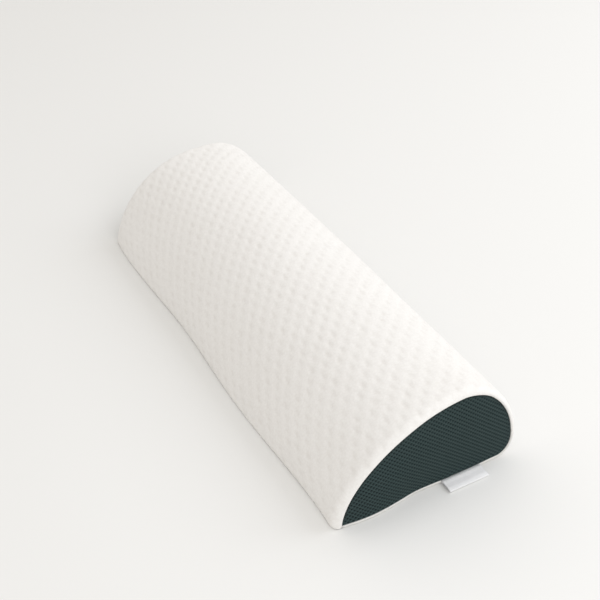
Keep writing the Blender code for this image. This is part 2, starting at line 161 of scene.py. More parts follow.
def mesh_from(bm: bmesh.types.BMesh, name: str, smooth: bool = True) -> bpy.types.Object:
    """Turn a bmesh into an object of the scene.

    Args:
        bm: The mesh, which is freed.
        name: The object's name.
        smooth: Whether its faces are shaded smooth.

    Returns:
        The new object, at the origin.
    """
    mesh = bpy.data.meshes.new(name)
    bm.to_mesh(mesh)
    bm.free()
    if smooth:
        mesh.shade_smooth()
    return link(bpy.data.objects.new(name, mesh))


def points_of(mesh: bpy.types.Mesh) -> np.ndarray:
    """Read the places of a mesh's vertices.

    Args:
        mesh: The mesh.

    Returns:
        The places of points, one row each.
    """
    places = np.empty(len(mesh.vertices) * 3, np.float32)
    mesh.vertices.foreach_get("co", places)
    return places.reshape(-1, 3).astype(float)


def move_points(mesh: bpy.types.Mesh, places: np.ndarray) -> None:
    """Put a mesh's vertices at new places."""
    mesh.vertices.foreach_set("co", places.astype(np.float32).ravel())
    mesh.update()


def normals_of(mesh: bpy.types.Mesh) -> np.ndarray:
    """Read the normals of a mesh's vertices.

    Args:
        mesh: The mesh.

    Returns:
        The normals, one row each.
    """
    normals = np.empty(len(mesh.vertices) * 3, np.float32)
    mesh.vertex_normals.foreach_get("vector", normals)
    return normals.reshape(-1, 3).astype(float)


def lay_map(mesh: bpy.types.Mesh, flat: np.ndarray) -> None:
    """Give a mesh its fabric map, in metres along and across the cloth.

    Args:
        mesh: The mesh to map.
        flat: Two coordinates for each vertex.
    """
    layer = mesh.uv_layers.new(name=FABRIC_MAP)
    corner = np.empty(len(mesh.loops), np.int32)
    mesh.loops.foreach_get("vertex_index", corner)
    layer.data.foreach_set("uv", flat[corner].astype(np.float32).ravel())


def lay_attribute(mesh: bpy.types.Mesh, name: str, values: np.ndarray) -> None:
    """Store one number for each vertex, for a material to read."""
    attribute = mesh.attributes.new(name, "FLOAT", "POINT")
    attribute.data.foreach_set("value", values.astype(np.float32))


def apply_modifiers(obj: bpy.types.Object) -> None:
    """Replace an object's mesh with what its modifiers make of it.

    Args:
        obj: The object.
    """
    shown = obj.evaluated_get(bpy.context.evaluated_depsgraph_get())
    mesh = bpy.data.meshes.new_from_object(shown)
    obj.modifiers.clear()
    obj.data = mesh


def thicken(obj: bpy.types.Object, thickness: float, offset: float = -1.0) -> None:
    """Give an open sheet its thickness.

    Args:
        obj: The sheet.
        thickness: Its thickness.
        offset: -1 for inwards from its outer face, 0 for both ways.
    """
    solidify = obj.modifiers.new("thickness", "SOLIDIFY")
    solidify.thickness = thickness
    solidify.offset = offset
    solidify.use_even_offset = False
    solidify.use_quality_normals = True


def dress(
    obj: bpy.types.Object, material: bpy.types.Material, node: str, body: str = "root"
) -> None:
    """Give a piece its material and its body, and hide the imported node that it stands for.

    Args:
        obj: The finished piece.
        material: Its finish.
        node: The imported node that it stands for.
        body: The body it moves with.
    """
    obj.data.materials.clear()
    obj.data.materials.append(material)
    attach(obj, body)
    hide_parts(node)
    LOG.info("%s: %d faces on %s", obj.name, len(obj.data.polygons), body)


# ---------------------------------------------------------------- materials


class Finish:
    """A procedural material in the making, with short ways to add and join its nodes."""

    def __init__(self, name: str, roughness: float, metallic: float = 0.0) -> None:
        """Start a material.

        Args:
            name: Its name.
            roughness: Its roughness where no pattern changes it.
            metallic: 1 for bare metal, 0 for anything else.
        """
        self.material = bpy.data.materials.new(name)
        self.material.use_nodes = True
        self.nodes = self.material.node_tree.nodes
        self.links = self.material.node_tree.links
        self.shader = self.nodes["Principled BSDF"]
        self.shader.inputs["Roughness"].default_value = roughness
        self.shader.inputs["Metallic"].default_value = metallic

    def set(self, socket: str, value: object) -> None:
        """Set one of the shader's own sockets."""
        self.shader.inputs[socket].default_value = value

    def node(self, kind: str, **inputs: object) -> bpy.types.Node:
        """Add a node.

        Args:
            kind: The last part of its type's name.
            **inputs: Links or values for its sockets, by name.

        Returns:
            The node.
        """
        node = self.nodes.new(f"ShaderNode{kind}")
        for name, source in inputs.items():
            self.join(source, node.inputs[name])
        return node

    def join(self, source: object, target: bpy.types.NodeSocket) -> None:
        """Link a socket to another, or write a plain number or colour into it."""
        if isinstance(source, bpy.types.NodeSocket):
            self.links.new(source, target)
        elif isinstance(source, tuple) and len(source) == 3 and target.type == "RGBA":
            target.default_value = (*source, 1.0)
        else:
            target.default_value = source

    def cloth(self) -> tuple[bpy.types.NodeSocket, bpy.types.NodeSocket]:
        """Read the fabric map.

        Returns:
            Its two coordinates, in metres.
        """
        uv = self.node("UVMap")
        uv.uv_map = FABRIC_MAP
        parts = self.node("SeparateXYZ", Vector=uv.outputs["UV"])
        return parts.outputs["X"], parts.outputs["Y"]

    def place(self) -> bpy.types.NodeSocket:
        """The place on the object, in metres."""
        return self.node("TexCoord").outputs["Object"]

    def attribute(self, name: str) -> bpy.types.NodeSocket:
        """Read a number that the mesh stores at its vertices.

        Args:
            name: The number's name.

        Returns:
            Its socket.
        """
        node = self.node("Attribute")
        node.attribute_name = name
        return node.outputs["Fac"]

    def math(self, operation: str, *values: object) -> bpy.types.NodeSocket:
        """Add a Math node.

        Args:
            operation: What it does.
            *values: Its sockets and numbers.

        Returns:
            The result.
        """
        node = self.node("Math")
        node.operation = operation
        for socket, value in zip(node.inputs, values):
            self.join(value, socket)
        return node.outputs[0]

    def scaled(self, value: object, low: float, high: float) -> bpy.types.NodeSocket:
        """A value from 0 to 1, spread between two numbers."""
        return self.math("MULTIPLY_ADD", value, high - low, low)

    def noise(self, where: object, scale: float, detail: float = 2.0) -> bpy.types.NodeSocket:
        """Soft noise at a place, around one half."""
        return self.node("TexNoise", Vector=where, Scale=scale, Detail=detail).outputs["Fac"]

    def cells(self, where: object, scale: float) -> bpy.types.NodeSocket:
        """The distance to the nearest cell's middle, as in foam."""
        return self.node("TexVoronoi", Vector=where, Scale=scale).outputs["Distance"]

    def mix(self, share: object, first: object, second: object) -> bpy.types.NodeSocket:
        """Mix two colours.

        Args:
            share: The second colour's share.
            first: The first colour.
            second: The second colour.

        Returns:
            The mixed colour.
        """
        node = self.node("Mix")
        node.data_type = "RGBA"
        for socket, source in zip((0, 6, 7), (share, first, second)):
            self.join(source, node.inputs[socket])
        return node.outputs[2]

    def wave(self, value: object, pitch: float) -> bpy.types.NodeSocket:
        """A rounded ridge from 0 to 1 that repeats once a pitch."""
        turn = self.math("MULTIPLY", value, 2.0 * math.pi / pitch)
        return self.scaled(self.math("SINE", turn), 0.5, 1.0)

    def knit(self, stitch: Stitch) -> bpy.types.NodeSocket:
        """The height of a knitted face, from 0 to 1: columns of V-shaped loops.

        Args:
            stitch: The pitch of its wales and courses.

        Returns:
            A socket with the height.
        """
        wale, course = stitch.value
        along, across = self.cloth()
        column = self.math("FRACT", self.math("MULTIPLY", along, 1.0 / wale))
        side = self.math("ABSOLUTE", self.math("MULTIPLY_ADD", column, 2.0, -1.0))
        row = self.math("MULTIPLY_ADD", across, 1.0 / course, self.math("MULTIPLY", side, 0.55))
        loop = self.math("SINE", self.math("MULTIPLY", self.math("FRACT", row), math.pi))
        groove = self.math("SUBTRACT", 1.0, self.math("POWER", side, 3.0))
        return self.math("MULTIPLY", loop, groove)

    def weave(self, pitch: float) -> bpy.types.NodeSocket:
        """The height of a plain weave, from 0 to 1.

        Args:
            pitch: The distance between threads, in metres.

        Returns:
            A socket with the height.
        """
        along, across = self.cloth()
        warp = self.wave(along, pitch)
        weft = self.wave(across, pitch)
        over = self.wave(self.math("ADD", along, across), 2.0 * pitch)
        lifted = self.math("MULTIPLY", warp, over)
        sunk = self.math("MULTIPLY", weft, self.math("SUBTRACT", 1.0, over))
        return self.math("ADD", lifted, sunk)

    def colour(self, source: object) -> None:
        """Join a colour to the shader."""
        self.join(source, self.shader.inputs["Base Color"])

    def roughness(self, source: object) -> None:
        """Join a pattern to the shader's roughness."""
        self.join(source, self.shader.inputs["Roughness"])

    def bump(self, height: object, distance: float, strength: float = 1.0) -> None:
        """Let a height pattern turn the surface's normals.

        Args:
            height: The pattern, from 0 to 1.
            distance: The height of a full step, in metres.
            strength: The share of it that shows.
        """
        node = self.node("Bump", Distance=distance, Strength=strength, Height=height)
        self.join(node.outputs["Normal"], self.shader.inputs["Normal"])


@dataclass(frozen=True)
class KnitFinish:
    """A pale knit with a soft nap: yarn on its loops, and shade between them and in its dimples."""

    name: str
    stitch: Stitch
    yarn: Triple
    shade: Triple
    relief: float = 0.12 * MM
    sheen: float = 0.15
    quilted: bool = False

    def make(self) -> bpy.types.Material:
        """Build the material.

        Returns:
            The material.
        """
        finish = Finish(self.name, roughness=0.92)
        loops = finish.knit(self.stitch)
        drift = finish.noise(finish.place(), scale=14.0, detail=4.0)
        # How far the yarn colour goes towards the shade colour: painted shade between the loops, and a
        # random drift in tone.
        deep = finish.math("MULTIPLY", finish.math("SUBTRACT", 1.0, loops), 0.35)
        darker = finish.math("MULTIPLY_ADD", drift, 0.22, deep)
        if self.quilted:
            # Painted shade in the jacquard's dimples, and a random grain in tone.
            darker = finish.math("MULTIPLY_ADD", finish.attribute("dimple"), 0.22, darker)
            grain = finish.cells(finish.place(), scale=430.0)
            darker = finish.math("MULTIPLY_ADD", grain, 0.30, finish.math("SUBTRACT", darker, 0.12))
        finish.colour(finish.mix(darker, self.yarn, self.shade))
        fuzz = finish.noise(finish.place(), scale=2600.0, detail=3.0)
        finish.bump(finish.math("MULTIPLY_ADD", fuzz, 0.35, loops), self.relief, 0.6)
        finish.roughness(finish.scaled(drift, 0.86, 0.98))
        finish.set("Sheen Weight", self.sheen)
        finish.set("Sheen Roughness", 0.55)
        finish.set("Specular IOR Level", 0.25)
        return finish.material


@dataclass(frozen=True)
class MeshFinish:
    """A dark spacer mesh: ridges of yarn with painted highlight along their strands, between holes
    painted dark as shade.
    """

    name: str
    yarn: Triple
    lit_strand: Triple
    hole: Triple

    def make(self) -> bpy.types.Material:
        """Build the material.

        Returns:
            The material.
        """
        finish = Finish(self.name, roughness=0.7)
        along, across = finish.cloth()
        strands = finish.wave(finish.math("MULTIPLY_ADD", across, 0.35, along), 0.42 * MM)
        drift = finish.noise(finish.place(), scale=30.0, detail=3.0)
        speck = finish.noise(finish.place(), scale=900.0, detail=2.0)
        # Painted highlight on the tops of the strands, broken up by random specks.
        lit = finish.math("MULTIPLY", strands, finish.scaled(speck, 0.2, 0.8))
        ridge = finish.mix(lit, self.yarn, self.lit_strand)
        # Painted shade in the holes and along the panel's tucked edge, from the pit mask, with a little
        # random drift.
        pit = finish.attribute("pit")
        depth = finish.math("MINIMUM", finish.math("MULTIPLY_ADD", drift, 0.1, pit), 1.0)
        finish.colour(finish.mix(depth, ridge, self.hole))
        finish.roughness(finish.scaled(strands, 0.62, 0.82))
        finish.bump(strands, 0.10 * MM, 0.5)
        finish.set("Specular IOR Level", 0.14)
        return finish.material


@dataclass(frozen=True)
class TapeFinish:
    """A woven tape or label, with warp and weft of one colour and a pitch in metres."""

    name: str
    thread: Triple
    shade: Triple
    pitch: float
    gloss: float = 0.75

    def make(self) -> bpy.types.Material:
        """Build the material.

        Returns:
            The material.
        """
        finish = Finish(self.name, roughness=self.gloss)
        threads = finish.weave(self.pitch)
        drift = finish.noise(finish.place(), scale=60.0, detail=3.0)
        # Painted shade between the threads, with a random drift in tone.
        share = finish.math("MULTIPLY_ADD", threads, -0.7, finish.scaled(drift, 0.6, 1.0))
        finish.colour(finish.mix(share, self.thread, self.shade))
        finish.roughness(finish.scaled(threads, self.gloss + 0.1, self.gloss))
        finish.bump(threads, 0.06 * MM, 0.7)
        finish.set("Sheen Weight", 0.1)
        return finish.material


@dataclass(frozen=True)
class YarnFinish:
    """Sewing thread: a twisted yarn with a slight gloss, and shade between its plies."""

    name: str
    yarn: Triple
    shade: Triple

    def make(self) -> bpy.types.Material:
        """Build the material.

        Returns:
            The material.
        """
        finish = Finish(self.name, roughness=0.6)
        parts = finish.node("SeparateXYZ", Vector=finish.place())
        slant = finish.math("ADD", parts.outputs["X"], parts.outputs["Y"])
        twist = finish.wave(finish.math("ADD", slant, parts.outputs["Z"]), 0.5 * MM)
        finish.colour(finish.mix(twist, self.shade, self.yarn))
        finish.bump(twist, 0.05 * MM, 0.8)
        finish.roughness(finish.scaled(twist, 0.7, 0.5))
        return finish.material


@dataclass(frozen=True)
class FoamFinish:
    """Moulded memory foam: a fine open skin of cells."""

    name: str
    skin: Triple
    pore: Triple

    def make(self) -> bpy.types.Material:
        """Build the material.

        Returns:
            The material.
        """
        finish = Finish(self.name, roughness=0.95)
        cells = finish.cells(finish.place(), scale=900.0)
        coarse = finish.noise(finish.place(), scale=35.0, detail=4.0)
        # Painted shade in the pores at the cells' middles, with random blotches of tone.
        share = finish.math("MULTIPLY_ADD", coarse, 0.5, finish.scaled(cells, 0.3, -0.2))
        finish.colour(finish.mix(share, self.skin, self.pore))
        finish.bump(cells, 0.2 * MM, 0.5)
        finish.roughness(finish.scaled(coarse, 0.88, 1.0))
        return finish.material


@dataclass(frozen=True)
class CastFinish:
    """A small part: cast metal (metallic 1) with fine tumbling marks, or plain nylon (0)."""

    name: str
    body: Triple
    darker: Triple
    metallic: float
    roughness: float

    def make(self) -> bpy.types.Material:
        """Build the material.

        Returns:
            The material.
        """
        finish = Finish(self.name, self.roughness, self.metallic)
        marks = finish.noise(finish.place(), scale=1400.0, detail=4.0)
        patches = finish.noise(finish.place(), scale=160.0, detail=3.0)
        finish.colour(finish.mix(patches, self.body, self.darker))
        finish.roughness(finish.scaled(marks, self.roughness - 0.1, self.roughness + 0.12))
        finish.bump(marks, 0.02 * MM, 0.5)
        return finish.material


def made(finish: object) -> object:
    """A field that holds a finish's material, made when the wardrobe is."""
    return field(default_factory=finish.make)


@dataclass
class Wardrobe:
    """Every finish of the cushion, made once and shared by its pieces."""

    jacquard: bpy.types.Material = made(KnitFinish(
        "quilted_jacquard", Stitch.JACQUARD, (0.92, 0.905, 0.88), (0.74, 0.71, 0.67), quilted=True
    ))
    base_knit: bpy.types.Material = made(KnitFinish(
        "plain_base_knit", Stitch.PLAIN, (0.84, 0.82, 0.79), (0.62, 0.60, 0.57)
    ))
    spacer_mesh: bpy.types.Material = made(MeshFinish(
        "dark_spacer_mesh", (0.025, 0.043, 0.043), (0.068, 0.106, 0.104), (0.0015, 0.0045, 0.0050)
    ))
    liner: bpy.types.Material = made(KnitFinish(
        "thin_liner_knit", Stitch.FINE, (0.84, 0.84, 0.82), (0.66, 0.66, 0.65), 0.06 * MM
    ))
    foam: bpy.types.Material = made(FoamFinish(
        "moulded_foam", (0.90, 0.86, 0.72), (0.70, 0.63, 0.47)
    ))
    thread: bpy.types.Material = made(YarnFinish(
        "sewing_thread", (0.88, 0.87, 0.84), (0.60, 0.58, 0.54)
    ))
    satin: bpy.types.Material = made(TapeFinish(
        "label_satin", (0.90, 0.90, 0.90), (0.74, 0.74, 0.75), 0.26 * MM, gloss=0.45
    ))
    zip_tape: bpy.types.Material = made(TapeFinish(
        "woven_zip_tape", (0.82, 0.81, 0.78), (0.58, 0.57, 0.54), 0.42 * MM
    ))
    nylon: bpy.types.Material = made(CastFinish(
        "coil_nylon", (0.84, 0.83, 0.80), (0.76, 0.75, 0.72), metallic=0.0, roughness=0.36
    ))
    metal: bpy.types.Material = made(CastFinish(
        "zip_metal", (0.58, 0.58, 0.57), (0.44, 0.44, 0.43), metallic=1.0, roughness=0.32
    ))


# ---------------------------------------------------------------- the form


@dataclass
class Form:
    """The cushion's outer form: a D section drawn out along X, with rolled ends.

    The crest's place is from the front edge, and the exponents are those of the superellipses
    up to it and down the rear wall. The arch rolls onto the end faces with arch_roll, less
    rear_fullness at the rear wall, and the base with base_roll. The cover turns into the end
    seam with hem_radius.
    """

    length: float
    width: float
    height: float
    crest_from_front: float = 134.5 * MM
    rear_edge_radius: float = 22.0 * MM
    front_exponents: Pair = (2.1, 1.75)
    rear_exponents: Pair = (1.75, 1.75)
    floor_fillet: float = 1.6 * MM
    arch_roll: float = 7.5 * MM
    base_roll: float = 0.9 * MM
    rear_fullness: float = 2.3 * MM
    hem_radius: float = 1.3 * MM
    zip_height: float = 27.0 * MM
    sampling: float = 0.25 * MM
    front_wave: tuple[float, float, float, float] = (0.6 * MM, 2.2 * MM, 200 * MM, 280 * MM)
    far_sag: float = 3.2 * MM
    low_swell: tuple[tuple[float, ...], ...] = (
        (-95, -75, -60, -45, -30, -14, 0, 20, 50, 90),
        (1.2, 4.6, 5.6, 4.8, 3.0, 0.8, 1.3, 2.8, 3.5, 3.2),
    )
    high_swell: tuple[tuple[float, ...], ...] = (
        (-95, -60, -30, 0, 30, 90), (0.5, 2.2, 2.2, 1.0, 0.3, 0.9)
    )

    def __post_init__(self) -> None:
        """Draw the section, its normals and the outline of the end seam."""
        self.crest = self.crest_from_front - self.width / 2
        rough = np.concatenate([self._arch(), self._base()])
        run = run_along(rough)
        self.reach = np.linspace(0.0, run[-1], int(run[-1] / self.sampling))
        self.line = read_at(self.reach, run, rough)
        tangent = unit(np.gradient(self.line, axis=0))
        self.normal = np.stack([-tangent[:, 1], tangent[:, 0]], axis=1)
        behind = (self.line[:, 0] > self.crest) & (self.line[:, 1] > self.floor_fillet)
        self.zip_reach = float(
            np.interp(-self.zip_height, -self.line[behind, 1], self.reach[behind])
        )
        flat = self.line[:, 1] < 1e-7
        self.base_reach = float(self.reach[flat & (self.reach > self.zip_reach)][0])
        self.seam = self._seam_outline()
        self.inwards = unit(self.seam - self.line)

    def _arch(self) -> np.ndarray:
        """Draw the section from under the front edge over the crest to under the rear edge.

        Returns:
            Its points, as Y and Z.
        """
        turn = np.linspace(0.0, math.pi / 2, 1200)
        cos, sin = np.clip((np.cos(turn), np.sin(turn)), 0.0, 1.0)
        along, up = self.front_exponents
        front_y = self.crest - self.crest_from_front * cos ** (2 / along)
        front = np.stack([front_y, self.height * sin ** (2 / up)], axis=1)
        front = front[front[:, 1] >= self.floor_fillet]
        along, up = self.rear_exponents
        radius = self.rear_edge_radius
        rear_y = self.crest + (self.width / 2 - self.crest) * sin ** (2 / along)
        rear_z = radius + (self.height - radius) * cos ** (2 / up)
        edge_y = self.width / 2 - radius * (1 - cos)
        edge_z = radius * (1 - sin)
        fillet_y = front[0, 0] + self.floor_fillet * (1 - sin)
        fillet_z = self.floor_fillet * (1 - cos)
        fillet = np.stack([fillet_y, fillet_z], axis=1)[:-1]
        rear = np.stack([rear_y, rear_z], axis=1)[1:]
        return np.concatenate([fillet, front, rear, np.stack([edge_y, edge_z], axis=1)[1:]])

    def _base(self) -> np.ndarray:
        """Draw the flat base, from the rear edge back to the front edge's small round.

        Returns:
            Its points, as Y and Z.
        """
        rear = self.width / 2 - self.rear_edge_radius
        front = -self.width / 2 + 2 * self.floor_fillet
        y = np.linspace(rear, front, 200)[1:]
        return np.stack([y, np.zeros_like(y)], axis=1)

    def _seam_outline(self) -> np.ndarray:
        """Draw the end seam: where the rolled edge ends, for each point of the section.

        Returns:
            Its points, as Y and Z.
        """
        share = (self.reach - self.zip_reach) / (self.base_reach - self.zip_reach)
        rising = len(self.line) // 3
        crest = float(np.interp(self.crest, self.line[:rising, 0], self.reach[:rising]))
        rear = smooth_step((self.reach - crest - 20 * MM) / (40 * MM))
        roll = self.arch_roll - self.rear_fullness * rear
        roll = roll + (self.base_roll - roll) * smooth_step(share)
        outline = self.line - self.normal * roll[:, None]
        fair = self.line[:, 1] > self.floor_fillet
        front = fair & (self.line[:, 0] < self.crest)
        corner = float(np.interp(self.base_roll, outline[front, 1], outline[front, 0]))
        low = (outline[:, 1] < self.base_roll) | (~fair & (self.reach < self.zip_reach))
        outline[low & (self.reach < self.zip_reach)] = (corner, self.base_roll)
        under = self.reach >= self.base_reach
        outline[under, 1] = self.base_roll
        outline[under, 0] = np.maximum(outline[under, 0], corner)
        return outline

    def at(self, reach: np.ndarray, table: np.ndarray) -> np.ndarray:
        """Values of a table of the section at some arc lengths."""
        return read_at(reach, self.reach, table)

    def relax(self, places: np.ndarray) -> np.ndarray:
        """Let sewn cloth lie a little unevenly: a wavy front edge and full, wavy ends.

        Args:
            places: Points on the form.

        Returns:
            The moved points.
        """
        x, y, z = places.T
        height = np.clip(z, 0.0, None)
        at_end = smooth_step((np.abs(x) - self.length / 2 + 22 * MM) / (22 * MM))
        fair = np.linspace(-self.width / 2, self.width / 2, 201)
        window = np.hanning(27) / np.hanning(27).sum()
        swell = []
        for stops, sizes in (self.low_swell, self.high_swell):
            drawn = np.interp(fair / MM, stops, sizes)
            eased = np.convolve(np.pad(drawn, 13, mode="edge"), window, mode="valid")
            swell.append(np.interp(y, fair, eased) * MM)
        low = np.exp(-height / (15 * MM))
        outwards = np.sign(x) * at_end * (swell[0] * low + swell[1] * (1 - low))
        by_front = smooth_step((-50 * MM - y) / (35 * MM)) * np.exp(-height / (24 * MM))
        mean, size, start, pitch = self.front_wave
        wave = mean + size * np.cos(2 * math.pi * (x + start) / pitch)
        ends = smooth_step((self.length / 2 - np.abs(x)) / (30 * MM))
        far = smooth_step((-x - self.length / 2 + 55 * MM) / (50 * MM))
        sag = self.far_sag * far * np.exp(-(((y - 30 * MM) / (38 * MM)) ** 2)) * height / self.height
        return places + np.column_stack([outwards, -wave * by_front * ends, -sag])

    @property
    def half_cloth(self) -> float:
        """Half the cover's length, measured over its rolled edges to the end seam."""
        return self.length / 2 - self.arch_roll + self.arch_roll * math.pi / 2

    def wrap(
        self, along: np.ndarray, reach: np.ndarray, depth: float = 0.0, end_depth: float = 0.0
    ) -> tuple[np.ndarray, np.ndarray]:
        """Lay points of the cloth on the form.

        Args:
            along: Each point's place along the cloth, from the middle, over the rolled end.
            reach: Its arc length round the section.
            depth: How far under the outer form the cloth lies.
            end_depth: The same at the end faces.

        Returns:
            The places and the outward normals, one row each.
        """
        side = np.where(along < 0, -1.0, 1.0)
        radius = self.arch_roll - depth
        over = np.abs(along) - (self.length / 2 - self.arch_roll)
        turn = np.clip(over / self.arch_roll, 0.0, math.pi / 2)
        past = np.clip(np.abs(along) - self.half_cloth, 0.0, None)
        hem = np.clip(past / self.hem_radius, 0.0, math.pi / 2)
        deep = np.clip(past - self.hem_radius * math.pi / 2, 0.0, None)
        line, seam = self.at(reach, self.line), self.at(reach, self.seam)
        normal, inwards = unit(self.at(reach, self.normal)), unit(seam - line)
        skin = line - normal * depth
        flat = skin + (seam - skin) * (1 - np.cos(turn))[:, None]
        flat = flat + inwards * (self.hem_radius * np.sin(hem))[:, None]
        end = self.length / 2 - end_depth
        x = np.where(
            over > 0, end - radius + radius * np.sin(turn), np.minimum(np.abs(along), end - radius)
        )
        x = x - self.hem_radius * (1 - np.cos(hem)) - deep
        tilt = normal * (np.cos(turn) * np.cos(hem))[:, None] + inwards * np.sin(hem)[:, None]
        outwards = np.column_stack([side * np.sin(turn) * np.cos(hem), tilt])
        return np.column_stack([side * x, flat]), unit(outwards)

    def zip_axes(self) -> Matrix:
        """The zip's own axes, on the outer form.

        Returns:
            A matrix with u towards -X, v up the rear wall and w outwards.
        """
        place = self.at(self.zip_reach, self.line)
        w = Vector((0.0, *self.at(self.zip_reach, self.normal))).normalized()
        u = Vector((-1.0, 0.0, 0.0))
        axes = Matrix((u, w.cross(u), w)).transposed().to_4x4()
        axes.translation = Vector((0.0, *place))
        return axes


# ---------------------------------------------------------------- the stuffed body


@dataclass
class StuffedBody:
    """The cushion stuffed tight: a cloth simulation of the whole cover, held at its seams.

    The cloth starts inside the form by its slack, is held within the pinned distance of a
    seam, and moves by no more than the cap.
    """

    form: Form
    voxel: float = 5.0 * MM
    slack: float = 0.6 * MM
    pressure: float = 4.0
    cap: float = 5.0 * MM
    pinned: float = 9.0 * MM
    frames: int = 20

    def __post_init__(self) -> None:
        """Build the body and stuff it."""
        body = self._closed_form()
        self.rest = points_of(body.data)
        self.normals = normals_of(body.data)
        self.hold = self._hold(self.rest)
        self.moved = self._stuff(body)
        self.body = body
        self.tree = KDTree(len(self.rest))
        for index, place in enumerate(self.rest):
            self.tree.insert(place, index)
        self.tree.balance()

    def _closed_form(self) -> bpy.types.Object:
        """Build the outer form as one closed mesh of even faces.

        Returns:
            The body, not stuffed yet.
        """
        form = self.form
        bm = bmesh.new()
        count = 240
        reach = np.linspace(0.0, form.reach[-1], count, endpoint=False)
        bmesh.ops.create_circle(bm, segments=count, radius=1.0)
        bm.verts.ensure_lookup_table()
        first = form.at(reach, form.seam)
        put(bm.verts, np.column_stack([np.full(count, -form.length / 2), first]))
        ring = list(bm.edges)
        bmesh.ops.edgeloop_fill(bm, edges=ring)
        rolls = np.linspace(0.0, math.pi / 2, 5)
        ends = form.length / 2 - form.arch_roll + form.arch_roll * rolls
        for along in [*-ends[::-1][1:], *ends]:
            verts, ring = extrude(bm, ring)
            places, _ = form.wrap(np.full(count, along), reach)
            places[:, 2] = np.maximum(places[:, 2], 0.0)
            put(verts, places)
        bmesh.ops.edgeloop_fill(bm, edges=ring)
        bmesh.ops.recalc_face_normals(bm, faces=bm.faces)
        body = mesh_from(bm, "stuffed_core")
        remesh = body.modifiers.new("even_faces", "REMESH")
        remesh.mode = "VOXEL"
        remesh.voxel_size = self.voxel
        remesh.use_smooth_shade = True
        apply_modifiers(body)
        return body

    def _hold(self, places: np.ndarray) -> np.ndarray:
        """Find how firmly each point is held by a seam or by the zip.

        Args:
            places: The places of points, one row each.

        Returns:
            1 for a point that is held, down to 0 for one well away.
        """
        form = self.form
        held = np.zeros(len(places))
        by_zip = np.abs(form.reach - form.zip_reach) < 15 * MM
        for seam in (form.reach < 4 * form.floor_fillet, by_zip):
            gap = gap_to(places[:, 1:], form.line[seam][::8])
            held = np.maximum(held, 1 - smooth_step(gap / self.pinned))
        gap = gap_to(places[:, 1:], form.seam[::8])
        to_end = form.length / 2 - np.abs(places[:, 0])
        ring = np.hypot(gap, np.minimum(to_end, form.arch_roll))
        ring = np.where(to_end < form.arch_roll * 1.5, ring, self.pinned)
        return np.maximum(held, 1 - smooth_step(ring / self.pinned))

    def _stuff(self, body: bpy.types.Object) -> np.ndarray:
        """Run the simulation.

        Args:
            body: The body.

        Returns:
            How far each point moved from the outer form.
        """
        start = self.rest - self.normals * (self.slack * (1 - self.hold))[:, None]
        move_points(body.data, start)
        group = body.vertex_groups.new(name="seams")
        for index in np.flatnonzero(self.hold > 0.02):
            group.add([int(index)], float(self.hold[index]), "REPLACE")
        cloth = body.modifiers.new("stuffing", "CLOTH")
        ways = {
            "quality": 6, "mass": 0.25, "tension_stiffness": 18.0, "compression_stiffness": 12.0,
            "shear_stiffness": 8.0, "bending_stiffness": 1.5, "air_damping": 3.0,
            "use_pressure": True, "uniform_pressure_force": self.pressure,
            "vertex_group_mass": group.name, "pin_stiffness": 2.0,
        }
        for way, value in ways.items():
            setattr(cloth.settings, way, value)
        cloth.settings.effector_weights.gravity = 0.0
        cloth.point_cache.frame_start = 1
        cloth.point_cache.frame_end = self.frames
        scene = bpy.context.scene
        for number in range(1, self.frames + 1):
            scene.frame_set(number)
        shown = body.evaluated_get(bpy.context.evaluated_depsgraph_get())
        stuffed = points_of(shown.data)
        body.modifiers.clear()
        scene.frame_set(1)
        shift = stuffed - start
        shift *= np.minimum(1.0, self.cap / np.maximum(lengths(shift), 1e-9))[:, None]
        LOG.info("stuffing: %d points, at most %.1f mm", len(shift), lengths(shift).max() / MM)
        return start + shift - self.rest

    def settle(self, places: np.ndarray, spread: float = 6.0 * MM, near: int = 12) -> np.ndarray:
        """Carry points along with the stuffed cloth that they lie on.

        Args:
            places: Points on or near the outer form.
            spread: How far a simulated point's movement is felt.
            near: How many simulated points each point follows.

        Returns:
            The moved points, none of them under the floor.
        """
        shift = np.zeros_like(places)
        for index, place in enumerate(places):
            found = self.tree.find_n(place, near)
            weights = np.array([math.exp(-((gap / spread) ** 2)) for _, _, gap in found])
            moved = self.moved[[number for _, number, _ in found]]
            shift[index] = weights @ moved / weights.sum()
        settled = self.form.relax(places + shift)
        settled[:, 2] = np.maximum(settled[:, 2], np.minimum(places[:, 2], 0.2 * MM))
        return settled

    def foam(self, wardrobe: Wardrobe, depth: float = 3.4 * MM, relief: float = 3.6 * MM) -> None:
        """Dress the simulated body as the foam core inside the cover.

        Args:
            wardrobe: The finishes.
            depth: How far the core's skin lies under the cover's face.
            relief: How much further it stands back behind the zip.
        """
        form = self.form
        by_zip = np.abs(form.reach - form.zip_reach) < 10 * MM
        gap = gap_to(self.rest[:, 1:], form.line[by_zip][::8])
        sunk = depth + relief * (1 - smooth_step(gap / (14 * MM)))
        skin = form.relax(self.rest + self.moved)
        skin -= self.normals * sunk[:, None]
        skin[:, 2] = np.maximum(skin[:, 2], depth)
        move_points(self.body.data, skin)
        self.body.data.shade_smooth()
        surface = self.body.modifiers.new("surface", "SUBSURF")
        surface.levels = surface.render_levels = 1
        dress(self.body, wardrobe.foam, "foam_core")


# ---------------------------------------------------------------- sheets of cloth on the form


